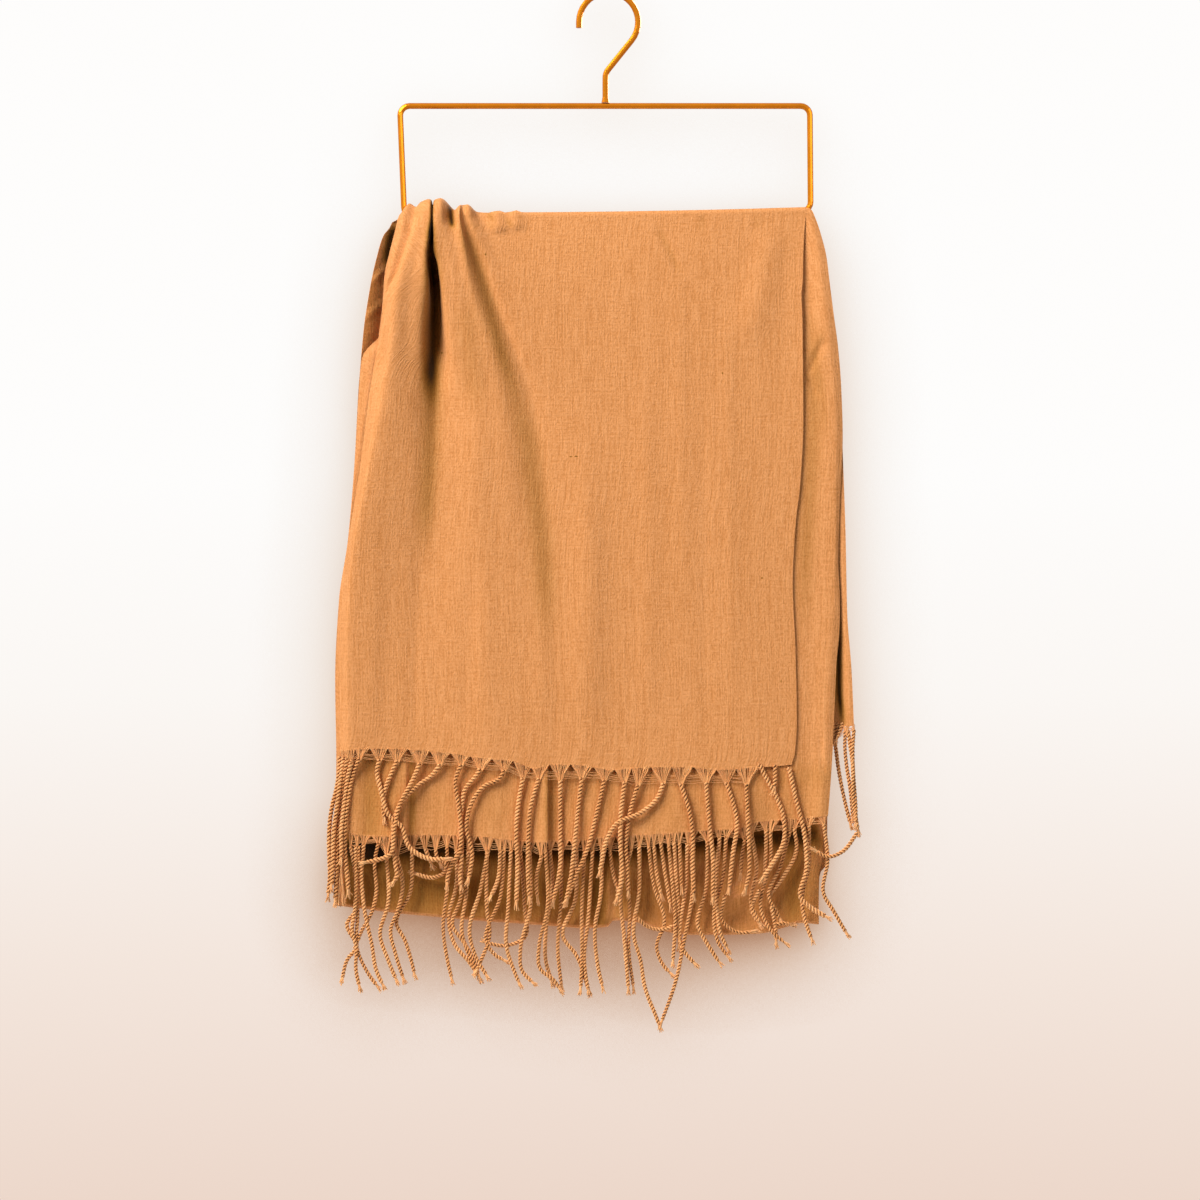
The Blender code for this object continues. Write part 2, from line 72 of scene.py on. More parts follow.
FRONT_LINES = (
    Line("left edge", 5,
        ((-18, -157.5, 2.2), (-9, -151.1, 2.2), (0, -156.8, 1.5), (12, -159.8, 2.0), (25, -163.1, 2.0),
         (45, -167.5, 2.0), (65, -168.9, 2.2), (95, -172.5, 2.0), (135, -178.9, 2.0), (190, -186.0, 2.0),
         (260, -196.5, 1.8), (330, -201.4, 1.8), (410, -200.6, 1.8))),
    Line("left flap", 6,
        ((-18, -153.5, 5.0), (-9, -148.9, 6.4), (0, -153.2, 8.0), (12, -155.2, 9.6), (25, -158.6, 10.0),
         (45, -164.2, 9.0), (65, -167.9, 7.0), (95, -170.0, 6.4), (135, -176.0, 6.4), (190, -183.8, 5.8),
         (260, -195.1, 4.6), (330, -200.0, 3.8), (410, -199.1, 3.2))),
    Line("left crease", 5,
        ((-18, -147.0, 3.6), (-9, -144.2, 4.0), (0, -144.8, 7.2), (12, -147.1, 9.6), (25, -151.3, 10.6),
         (45, -158.8, 9.8), (65, -166.6, 8.2), (95, -166.9, 10.4), (135, -173.2, 10.4),
         (190, -181.7, 9.4), (260, -193.9, 7.0), (330, -198.7, 5.4), (410, -197.5, 4.0))),
    Line("first ridge", 7,
        ((-9, -140.2, 7.2), (0, -141.8, 10.4), (12, -145.1, 13.0), (25, -149.2, 14.8),
         (45, -155.3, 16.4), (65, -159.4, 17.0), (95, -161.4, 17.0), (135, -166.9, 15.8),
         (190, -178.1, 13.6), (260, -190.6, 11.2), (330, -194.6, 9.4), (410, -193.6, 7.2))),
    Line("first shoulder", 6,
        ((-9, -135.4, 9.6), (0, -135.9, 12.0), (12, -138.4, 14.2), (25, -141.4, 16.0),
         (45, -145.9, 16.4), (65, -148.5, 15.6), (95, -149.6, 14.8), (135, -149.8, 13.6),
         (190, -149.4, 10.8), (260, -158.0, 7.6), (330, -163.9, 6.4), (410, -168.0, 5.2))),
    Line("gap left lip", 6,
        ((-9, -132.8, 8.8), (0, -132.5, 11.8), (12, -133.0, 13.8), (20, -134.2, 15.6),
         (31, -135.7, 16.6), (38, -135.5, 16.6), (45, -134.9, 16.0), (55, -135.2, 15.0),
         (65, -136.5, 13.6), (95, -139.0, 11.6), (135, -138.5, 9.6), (190, -137.0, 7.7),
         (260, -141.0, 5.6), (330, -146.0, 5.4), (410, -148.0, 4.4))),
    Line("gap left floor", 3,
        ((-9, -132.1, 6.0), (0, -132.2, 1.2), (12, -133.4, -1.0), (18, -134.8, -3.5), (25, -136.1, -7.5),
         (32, -136.4, -11.0), (39, -136.1, -13.0), (50, -133.9, -11.0), (65, -132.5, -8.0),
         (95, -132.5, -7.0), (115, -131.0, 0.0), (135, -129.5, 4.2), (190, -131.2, 6.3),
         (260, -134.5, 4.9), (330, -138.5, 5.1), (410, -139.0, 4.1))),
    Line("gap right floor", 4,
        ((-9, -131.2, 6.0), (0, -131.2, 1.2), (12, -129.8, -1.0), (18, -129.2, -3.5), (25, -128.6, -7.5),
         (32, -127.0, -11.0), (39, -125.3, -13.0), (50, -125.6, -11.0), (65, -127.0, -8.0),
         (95, -126.5, -7.0), (115, -125.6, 0.0), (135, -124.8, 4.0), (190, -127.0, 6.2),
         (260, -128.6, 4.9), (330, -131.0, 5.1), (410, -131.0, 4.1))),
    Line("gap right lip", 8,
        ((-9, -130.3, 8.8), (0, -130.4, 11.8), (15, -130.3, 12.8), (26, -130.3, 12.2),
         (36, -127.6, 11.4), (45, -126.1, 11.0), (65, -123.4, 9.8), (95, -119.5, 8.0),
         (135, -114.0, 6.4), (190, -115.0, 7.7), (260, -114.0, 6.8), (330, -114.0, 6.4),
         (410, -113.0, 5.0))),
    Line("second ridge", 8,
        ((-9, -124.3, 10.0), (0, -124.6, 12.6), (12, -124.0, 13.4), (25, -121.9, 13.2),
         (45, -117.4, 13.0), (65, -113.0, 12.2), (95, -106.5, 10.6), (135, -99.4, 8.6),
         (190, -99.4, 9.9), (260, -96.4, 8.8), (330, -94.9, 8.2), (410, -90.0, 6.2))),
    Line("pocket", 7,
        ((-9, -114.9, 1.6), (-5, -115.9, 2.6), (1, -116.6, 4.0), (7, -116.5, 8.4), (12, -115.9, 11.4),
         (25, -113.6, 12.6), (45, -109.8, 12.8), (65, -105.4, 12.0), (95, -97.5, 10.6),
         (135, -89.5, 8.7), (190, -86.0, 9.5), (260, -81.0, 8.4), (330, -78.0, 7.7), (410, -74.0, 5.9))),
    Line("third ridge", 8,
        ((-9, -110.6, 4.6), (-5, -111.4, 6.8), (1, -111.7, 9.8), (7, -110.8, 11.6), (12, -109.6, 12.6),
         (25, -107.2, 13.2), (45, -103.5, 12.8), (65, -98.0, 11.6), (95, -88.0, 10.2), (135, -79.0, 8.3),
         (190, -73.0, 8.9), (260, -66.5, 7.9), (330, -60.0, 7.2), (410, -57.0, 5.5))),
    Line("diagonal hollow", 8,
        ((-9, -108.5, 5.6), (-1, -109.1, 5.8), (4, -108.1, 5.4), (13, -105.8, 5.4), (26, -100.8, 5.4),
         (46, -93.5, 5.2), (65, -86.0, 4.8), (95, -74.0, 4.2), (135, -60.0, 3.2), (190, -51.4, 4.6),
         (260, -45.4, 5.7), (330, -41.6, 6.6), (410, -41.0, 5.0))),
    Line("fourth ridge", 7,
        ((-9, -105.0, 5.7), (0, -103.9, 6.8), (12, -100.1, 7.0), (25, -94.5, 6.6), (45, -86.5, 6.0),
         (65, -78.5, 5.4), (95, -66.0, 4.8), (135, -51.0, 3.6), (190, -42.0, 4.8), (260, -35.0, 6.0),
         (330, -33.0, 7.0), (410, -32.0, 5.2))),
    Line("fourth hollow", 10,
        ((-9, -98.3, 0.2), (0, -96.4, 1.4), (4, -93.4, 2.4), (12, -89.6, 3.8), (25, -84.4, 4.8),
         (45, -76.0, 5.2), (65, -66.5, 5.1), (95, -53.5, 4.8), (135, -37.0, 4.1), (190, -26.0, 5.3),
         (260, -19.0, 6.9), (330, -22.0, 7.6), (410, -18.0, 5.4))),
    Line("near field", 20,
        ((-9, -56.6, 0.0), (0, -56.6, 0.9), (12, -52.9, 2.1), (25, -47.6, 3.1), (45, -39.4, 4.0),
         (65, -30.4, 4.4), (95, -19.9, 4.6), (135, -6.4, 4.6), (190, 2.6, 5.0), (260, 7.1, 5.6),
         (330, 8.6, 5.7), (410, 8.6, 5.0))),
    Line("middle field", 22,
        ((-9, 8.6, 0.0), (0, 8.6, 0.6), (12, 12.4, 1.5), (25, 17.6, 2.4), (45, 27.4, 3.3),
         (65, 34.9, 3.9), (95, 42.4, 4.4), (135, 49.9, 4.7), (190, 53.6, 5.1), (260, 56.6, 5.5),
         (330, 58.1, 5.4), (410, 58.1, 5.0))),
    Line("far field", 16,
        ((-9, 76.1, 0.0), (0, 76.1, 0.5), (12, 77.6, 1.2), (25, 79.9, 1.9), (45, 82.1, 2.7),
         (65, 83.6, 3.4), (95, 87.4, 4.2), (135, 91.1, 4.7), (190, 94.1, 5.1), (260, 95.6, 5.4),
         (330, 97.1, 5.4), (410, 97.1, 4.8))),
    Line("right hollow", 8,
        ((-9, 124.9, 0.0), (0, 126.0, 0.4), (25, 128.0, 1.0), (45, 129.5, 1.8), (65, 130.0, 3.0),
         (95, 130.0, 3.9), (135, 127.6, 4.3), (190, 121.0, 4.7), (260, 114.0, 5.0), (330, 114.0, 5.0),
         (410, 114.0, 4.4))),
    Line("right ridge", 6,
        ((-9, 138.4, 0.0), (0, 139.5, 0.5), (25, 140.0, 1.6), (45, 139.6, 2.4), (65, 139.2, 3.5),
         (95, 139.8, 4.2), (135, 140.2, 4.7), (190, 138.6, 4.9), (260, 133.4, 4.9), (330, 134.6, 4.7),
         (410, 131.6, 3.8))),
    Line("right edge", 0,
        ((-9, 147.0, 0.0), (0, 147.8, 0.6), (11, 146.8, 1.4), (30, 145.7, 2.4), (53, 145.0, 3.2),
         (60, 144.2, 3.6), (76, 144.8, 4.2), (99, 145.1, 4.7), (153, 145.5, 5.0), (202, 143.2, 5.0),
         (229, 139.9, 5.0), (275, 137.6, 4.9), (322, 139.5, 4.7), (378, 140.6, 4.3), (403, 139.1, 3.8),
         (410, 136.9, 3.6))),
)
SECOND_LINES = (
    Line("left edge", 8,
        ((-9, -148.1, 0.0), (0, -149.6, 0.0), (25, -154.9, 0.3), (50, -160.9, 0.5), (140, -181.1, 1.0),
         (240, -193.9, 1.0), (350, -196.9, 1.4), (400, -196.1, 1.6), (430, -195.3, 3.0),
         (470, -193.9, 3.6))),
    Line("left roll", 7,
        ((-9, -126.4, 0.0), (0, -126.4, 0.0), (50, -126.4, 0.0), (95, -126.4, 0.0), (140, -135.4, 0.3),
         (183, -142.9, 1.0), (240, -147.4, 1.6), (350, -151.1, 2.4), (400, -152.2, 3.0),
         (425, -152.4, 4.4), (470, -152.2, 5.6))),
    Line("roll foot", 5,
        ((-9, -122.0, 0.0), (0, -122.0, 0.0), (50, -122.0, 0.0), (140, -131.0, 0.3), (183, -138.9, 0.8),
         (240, -143.4, 1.0), (350, -147.4, 1.2), (400, -148.2, 1.2), (470, -148.2, 1.2))),
    Line("left hollow", 7,
        ((-9, -105.4, 0.0), (0, -105.4, 0.0), (50, -106.9, 0.0), (140, -109.9, 0.4), (240, -114.4, 1.0),
         (350, -116.6, 1.3), (400, -116.6, 0.8), (470, -116.6, 0.6))),
    Line("middle roll", 8,
        ((-9, -81.4, 0.0), (0, -81.4, 0.0), (50, -82.9, 0.4), (140, -84.4, 1.4), (240, -85.9, 2.2),
         (350, -87.4, 2.8), (400, -88.1, 3.2), (470, -88.1, 3.4))),
    Line("middle hollow", 6,
        ((-9, -60.4, 0.0), (0, -60.4, 0.0), (50, -61.9, 0.3), (140, -63.4, 1.2), (240, -64.1, 1.8),
         (350, -64.9, 2.2), (400, -64.9, 2.4), (470, -64.9, 2.4))),
    Line("step crest", 5,
        ((-9, -47.6, 0.0), (0, -47.6, 0.0), (50, -49.1, 0.5), (140, -51.4, 1.7), (240, -50.6, 2.8),
         (350, -49.9, 3.6), (400, -49.9, 4.0), (430, -49.9, 5.4), (470, -49.9, 5.6))),
    Line("step edge", 3,
        ((-9, -42.4, 0.0), (0, -42.4, 0.0), (50, -43.9, 0.4), (140, -45.7, 1.5), (240, -45.7, 2.6),
         (350, -45.6, 3.5), (400, -45.6, 4.0), (430, -45.6, 5.4), (470, -45.6, 5.6))),
    Line("step foot", 3,
        ((-9, -40.1, 0.0), (0, -40.1, 0.0), (50, -41.6, 0.2), (140, -44.2, 0.8), (240, -44.9, 0.8),
         (350, -45.0, 0.7), (400, -45.0, 0.6), (470, -45.0, 0.6))),
    Line("recess", 8,
        ((-9, -28.9, 0.0), (0, -28.9, 0.0), (50, -30.4, 0.2), (140, -33.4, 0.6), (240, -34.1, 0.8),
         (350, -34.9, 0.8), (400, -34.9, 0.8), (470, -34.9, 0.8))),
    Line("right of recess", 16,
        ((-9, 1.1, 0.0), (0, 1.1, 0.1), (50, -0.4, 0.5), (140, -4.1, 1.6), (240, -5.6, 2.2),
         (350, -6.4, 2.5), (400, -6.4, 2.6), (470, -6.4, 2.4))),
    Line("field", 22,
        ((-9, 68.6, 0.0), (0, 68.6, 0.1), (50, 68.6, 0.5), (140, 68.6, 1.5), (240, 68.6, 2.0),
         (350, 68.6, 2.2), (400, 68.6, 2.3), (470, 68.6, 2.2))),
    Line("beside the edge", 9,
        ((-9, 124.9, 0.0), (0, 124.9, 0.1), (25, 127.1, 0.4), (50, 128.6, 0.6), (95, 131.6, 1.0),
         (140, 133.1, 2.9), (240, 130.1, 3.5), (350, 130.1, 3.3), (400, 130.1, 2.8), (470, 128.6, 1.6))),
    Line("side hollow", 7,
        ((-9, 142.9, 0.0), (0, 143.6, 0.0), (25, 146.6, 0.4), (50, 148.1, 0.5), (95, 149.6, 1.9),
         (140, 151.9, 3.1), (240, 151.5, 3.5), (350, 150.5, 3.1), (400, 150.5, 2.4), (470, 145.9, 1.0))),
    Line("side roll", 7,
        ((-9, 145.9, 0.0), (0, 148.1, 0.8), (12, 152.6, 2.6), (25, 155.6, 3.8), (50, 158.6, 5.0),
         (95, 163.9, 6.0), (140, 168.4, 6.0), (240, 169.1, 5.4), (350, 164.6, 5.0), (400, 161.6, 4.8),
         (470, 157.1, 4.4))),
    Line("right edge", 0,
        ((-9, 148.5, 0.0), (-2, 151.5, 0.4), (3, 153.8, 1.4), (16, 158.3, 2.6), (34, 162.9, 3.8),
         (52, 165.2, 4.6), (74, 168.1, 5.0), (99, 171.5, 4.8), (128, 173.8, 4.7), (166, 175.0, 4.5),
         (211, 173.0, 4.3), (258, 171.7, 4.2), (292, 172.9, 4.1), (312, 172.4, 4.0), (337, 170.2, 4.0),
         (359, 169.3, 3.9), (380, 168.3, 3.9), (399, 167.6, 3.8), (438, 165.0, 3.7), (451, 163.9, 3.6))),
)
THIRD_LINES = (
    Line("left edge", 24,
        ((-9, -145.1, 0.0), (0, -146.6, 0.0), (25, -151.9, 0.2), (50, -157.9, 0.4), (140, -178.1, 0.6),
         (240, -190.9, 0.8), (410, -192.4, 1.0))),
    Line("left field", 26,
        ((-9, -66.4, 0.0), (0, -66.4, 0.0), (50, -67.9, 0.0), (140, -73.9, 0.0), (240, -77.6, 0.2),
         (410, -79.9, 0.2))),
    Line("right field", 20,
        ((-9, 53.6, 0.0), (0, 53.6, 0.0), (50, 53.6, 0.1), (140, 56.6, 0.3), (240, 61.1, 0.5),
         (410, 64.1, 0.5))),
    Line("side hollow", 8,
        ((-9, 132.4, 0.0), (0, 134.6, 0.0), (50, 146.1, -0.6), (140, 151.6, -1.4), (198, 155.0, -1.0),
         (250, 163.5, -0.6), (298, 168.5, -1.6), (340, 171.0, -2.6), (383, 172.5, -3.0))),
    Line("side roll", 5,
        ((-9, 144.4, 0.0), (0, 145.1, 0.0), (25, 152.6, 0.2), (50, 157.9, 0.4), (95, 164.6, 1.9),
         (140, 169.1, 2.9), (198, 171.6, 3.3), (236, 173.8, 3.4), (298, 175.8, 3.3), (340, 178.2, 3.2),
         (383, 180.0, 3.2))),
    Line("right edge", 0,
        ((-9, 146.6, 0.0), (0, 148.1, 0.0), (25, 157.1, 0.6), (50, 162.4, 0.8), (95, 169.1, 2.2),
         (140, 173.6, 3.0), (198, 175.9, 3.5), (236, 177.2, 3.8), (298, 178.5, 3.9), (340, 181.7, 3.8),
         (383, 183.6, 3.6))),
)

# The rear wall, from the bar down to the lower fold
REAR_LINES = (
    Line("left edge", 4,
        ((0, -157.5, 1.0), (2, -162.0, 0.2), (5, -163.2, -0.6), (8, -164.4, -1.2), (14, -168.9, -2.5),
         (30, -173.7, -3.6), (47, -177.6, -3.8), (64, -180.6, -3.6), (81, -183.2, -3.0),
         (100, -185.2, -1.6), (112, -186.3, -0.4), (130, -187.9, 1.0), (183, -190.9, 3.0),
         (243, -196.1, 4.6), (288, -202.9, 5.4), (348, -205.9, 6.4), (408, -205.1, 7.0),
         (475, -206.6, 7.4), (530, -203.6, 7.0))),
    Line("edge turn", 5,
        ((0, -154.0, 1.8), (8, -161.6, 0.4), (14, -165.6, -0.8), (30, -170.4, -1.4), (47, -173.6, -1.2),
         (81, -179.2, -0.8), (108, -182.6, 1.4), (183, -187.5, 5.6), (288, -199.0, 8.2),
         (408, -201.5, 9.0), (530, -200.0, 8.0))),
    Line("first slope", 6,
        ((0, -147.0, 2.4), (14, -160.0, 3.2), (30, -162.8, 4.0), (47, -165.4, 4.8), (81, -171.0, 5.6),
         (108, -174.0, 7.4), (183, -181.0, 9.8), (288, -192.0, 11.0), (408, -193.0, 11.4),
         (530, -192.0, 9.4))),
    Line("first ridge", 8,
        ((0, -143.0, 4.0), (20, -156.0, 9.4), (50, -160.0, 11.8), (150, -171.0, 13.0), (300, -183.0, 13.6),
         (530, -181.0, 11.6))),
    Line("first hollow", 8,
        ((0, -136.0, 1.0), (20, -150.0, 4.0), (50, -152.0, 5.8), (150, -158.0, 7.0), (300, -163.0, 8.4),
         (530, -160.0, 9.0))),
    Line("second ridge", 8,
        ((0, -127.0, 6.0), (20, -137.0, 11.0), (50, -139.0, 13.6), (150, -140.0, 14.4), (300, -138.0, 13.8),
         (530, -134.0, 12.0))),
    Line("second hollow", 8,
        ((0, -118.0, 1.0), (20, -122.0, 3.6), (50, -121.0, 5.6), (150, -118.0, 7.4), (300, -110.0, 9.2),
         (530, -104.0, 9.4))),
    Line("third ridge", 8,
        ((0, -108.0, 3.0), (20, -108.0, 7.4), (50, -105.0, 10.6), (150, -96.0, 12.0), (300, -84.0, 12.6),
         (530, -76.0, 11.8))),
    Line("third hollow", 14,
        ((0, -90.0, 0.0), (20, -88.0, 1.6), (50, -83.0, 3.8), (150, -68.0, 6.4), (300, -48.0, 8.8),
         (530, -38.0, 9.4))),
    Line("field", 16,
        ((0, -10.0, 0.0), (20, -10.0, 0.8), (50, -10.0, 2.6), (150, 0.0, 6.4), (300, 10.0, 10.0),
         (530, 10.0, 10.4))),
    Line("right ridge", 14,
        ((0, 70.0, 0.0), (20, 70.0, 0.6), (50, 70.0, 2.2), (150, 72.0, 5.8), (300, 75.0, 9.6),
         (530, 75.0, 11.0))),
    Line("right hollow", 12,
        ((0, 115.0, 0.0), (20, 117.0, 0.5), (50, 118.0, 1.4), (150, 120.0, 4.2), (300, 120.0, 7.4),
         (530, 120.0, 9.2))),
    Line("right roll", 7,
        ((0, 138.0, 0.0), (20, 145.0, 1.0), (50, 149.0, 2.4), (150, 156.0, 5.6), (300, 156.0, 8.6),
         (480, 154.0, 9.6), (530, 150.0, 9.4))),
    Line("right edge", 0,
        ((0, 146.5, 0.0), (20, 154.0, 0.4), (50, 161.0, 1.0), (150, 167.5, 2.6), (300, 167.5, 5.4),
         (440, 165.0, 7.0), (486, 164.8, 7.2), (495, 159.0, 7.4), (530, 158.2, 7.4))),
)

# The inner rear wall, which comes up again from the lower fold
INNER_LINES = (
    Line("left edge", 6,
        ((0, -147.0, 0.0), (50, -147.0, 0.4), (63, -148.0, 0.0), (77, -157.9, -1.0), (88, -169.1, -2.0),
         (106, -184.8, -2.4), (130, -187.2, -1.6), (183, -190.4, 0.4), (243, -195.8, 2.4),
         (288, -202.4, 3.4), (348, -205.4, 4.4), (408, -204.8, 5.0), (475, -206.2, 5.4), (530, -203.4, 5.0))),
    Line("left roll", 8,
        ((0, -140.0, 0.0), (50, -139.0, 0.8), (77, -147.0, 0.0), (106, -175.0, -4.8), (183, -182.0, -4.2),
         (288, -194.0, -1.6), (408, -197.0, 2.0), (475, -197.0, 4.6), (530, -196.5, 5.0))),
    Line("left hollow", 14,
        ((0, -128.0, 0.0), (50, -125.0, 1.0), (106, -150.0, 0.4), (183, -158.0, 2.0), (288, -168.0, 4.0),
         (408, -176.0, 6.4), (475, -178.0, 7.4), (500, -179.0, 5.4), (530, -180.0, 5.0))),
    Line("left field", 18,
        ((0, -100.0, 0.0), (50, -98.0, 0.6), (183, -110.0, 2.0), (408, -118.0, 6.2), (475, -120.0, 8.0),
         (500, -121.0, 5.8), (530, -122.0, 5.2))),
    Line("middle field", 16,
        ((0, -40.0, 0.0), (50, -40.0, 0.5), (183, -36.0, 2.2), (408, -34.0, 6.4), (475, -34.0, 8.4),
         (500, -35.0, 6.2), (530, -34.0, 5.6))),
    Line("first dip", 8,
        ((0, 12.0, 0.0), (183, 12.0, 2.4), (408, 14.0, 6.6), (475, 14.0, 8.6), (500, 13.0, 6.6),
         (530, 12.0, 6.6))),
    Line("first swell", 8,
        ((0, 42.0, 0.0), (183, 42.0, 2.0), (408, 44.0, 5.6), (475, 46.0, 7.6), (500, 45.0, 4.6),
         (530, 48.0, 3.2))),
    Line("second dip", 8,
        ((0, 70.0, 0.0), (183, 70.0, 2.2), (408, 71.0, 6.2), (475, 71.0, 8.6), (500, 70.0, 6.6),
         (530, 70.0, 6.0))),
    Line("second swell", 8,
        ((0, 95.0, 0.0), (183, 96.0, 1.8), (408, 96.0, 5.4), (475, 95.0, 7.4), (500, 94.0, 4.4),
         (530, 94.0, 3.0))),
    Line("third dip", 14,
        ((0, 120.0, 0.0), (183, 126.0, 2.0), (408, 127.0, 6.0), (475, 127.0, 7.6), (500, 126.0, 5.8),
         (530, 124.0, 5.8))),
    Line("right roll", 10,
        ((0, 138.0, 0.0), (63, 150.0, 0.4), (183, 156.0, 1.2), (408, 155.0, 4.4), (530, 149.0, 4.6))),
    Line("right edge", 0,
        ((0, 146.0, 0.0), (63, 162.0, 0.2), (106, 165.5, 0.4), (150, 167.5, 1.0), (300, 168.0, 3.2),
         (440, 165.4, 5.0), (486, 165.0, 5.4), (495, 159.2, 5.6), (530, 158.4, 5.6))),
)

# A lower edge: X and the drop there
Edge = namedtuple("Edge", "across drop")
FRONT_HEM = (
    Edge(-201, 401), Edge(-177, 399), Edge(-148, 400), Edge(-116, 403), Edge(-87, 407), Edge(-72, 408),
    Edge(-55, 414), Edge(-42, 411), Edge(-27, 411), Edge(-12, 413), Edge(3, 415), Edge(33, 413),
    Edge(63, 413), Edge(79, 415), Edge(112, 413), Edge(128, 412), Edge(137, 411),
)
SECOND_HEM = (
    Edge(-194, 462), Edge(-178, 465), Edge(-138, 464), Edge(-95, 465), Edge(-79, 467), Edge(-51, 469),
    Edge(-20, 468), Edge(-6, 466), Edge(38, 463), Edge(66, 461), Edge(97, 459), Edge(112, 454),
    Edge(140, 452), Edge(165, 449),
)
THIRD_HEM = (Edge(-193, 419), Edge(80, 419), Edge(130, 412), Edge(157, 397), Edge(168, 383), Edge(184, 382))
LOWER_FOLD = (
    Edge(-203, 518), Edge(-165, 523), Edge(-114, 528), Edge(-47, 533), Edge(-14, 535), Edge(-1, 534),
    Edge(4, 529), Edge(24, 531), Edge(40, 537), Edge(61, 540), Edge(82, 540), Edge(114, 539),
    Edge(134, 534), Edge(145, 531), Edge(158, 532),
)

# Tassels: each one's route as (X, drop) points from its root
FRONT_TASSELS = (
    ((-201, 405), (-201.5, 415), (-203.8, 430), (-206.6, 441), (-208.8, 457), (-209, 478), (-208.6, 495),
     (-210, 511)),
    ((-198, 406), (-200, 420), (-201.6, 432), (-203.4, 446), (-205.3, 460), (-205.8, 476), (-206.2, 491),
     (-207, 504)),
    ((-195, 406), (-197.6, 420), (-199.4, 432), (-201, 447), (-202.6, 462), (-202.8, 478), (-203.4, 493),
     (-204.6, 515)),
    ((-192, 409), (-195, 422), (-196.6, 434), (-198, 446), (-199.6, 461), (-199.4, 475), (-199.6, 484)),
    ((-186, 406), (-191, 419), (-195, 440), (-197, 462), (-196.6, 480), (-195, 496), (-194, 508)),
    ((-171, 407), (-173, 415), (-170, 429), (-162, 451), (-155, 456), (-149, 472), (-134, 481), (-119, 481)),
    ((-158, 408), (-162, 417), (-167, 430), (-168, 445), (-167, 454)),
    ((-141, 410), (-147, 424), (-156, 441), (-160, 460), (-163, 478), (-173, 482), (-184, 484)),
    ((-126, 411), (-131, 418), (-143, 427), (-156, 441), (-161, 468), (-159, 486), (-158, 495), (-163, 500)),
    ((-110, 411), (-114, 420), (-112, 442), (-110, 463), (-111, 475), (-119, 490), (-121, 503)),
    ((-96, 414), (-98, 418), (-107, 429), (-110, 446), (-110, 481), (-111, 496), (-110, 505)),
    ((-78, 415), (-81, 421), (-93, 427), (-102, 439), (-106, 457), (-102, 477), (-105, 499)),
    ((-64, 421), (-67, 438), (-69, 462), (-68, 485), (-69, 517)),
    ((-52, 421), (-58, 442), (-60, 469), (-60, 496), (-59, 513)),
    ((-36, 422), (-36, 438), (-36, 468), (-36, 486), (-42, 516)),
    ((-20, 421), (-23, 447), (-26, 477), (-28, 494), (-32, 515)),
    ((-3, 422), (-9, 448), (-15, 472), (-26, 498), (-32, 514)),
    ((12, 424), (9, 451), (9, 472), (10, 496), (6, 513)),
    ((22, 426), (16, 447), (13, 473), (14, 489), (15, 509)),
    ((41, 425), (36, 437), (24, 447), (6, 455), (-2, 469), (-5, 484), (-7, 493)),
    ((54, 425), (61, 448), (63, 464), (63, 485), (64, 511)),
    ((73, 424), (75, 451), (78, 481), (78, 513)),
    ((88, 424), (93, 439), (96, 453), (93, 477), (90, 506)),
    ((103, 425), (104, 449), (105, 473), (105, 493), (102, 506)),
    ((112.5, 410), (117, 419), (123, 430), (131, 451), (131, 469), (124, 483), (114, 498)),
    ((124.4, 411), (124.6, 420), (123.6, 431)),
    ((135, 413), (140, 436), (147, 466), (148, 490), (144, 511), (150, 517), (165, 526)),
)
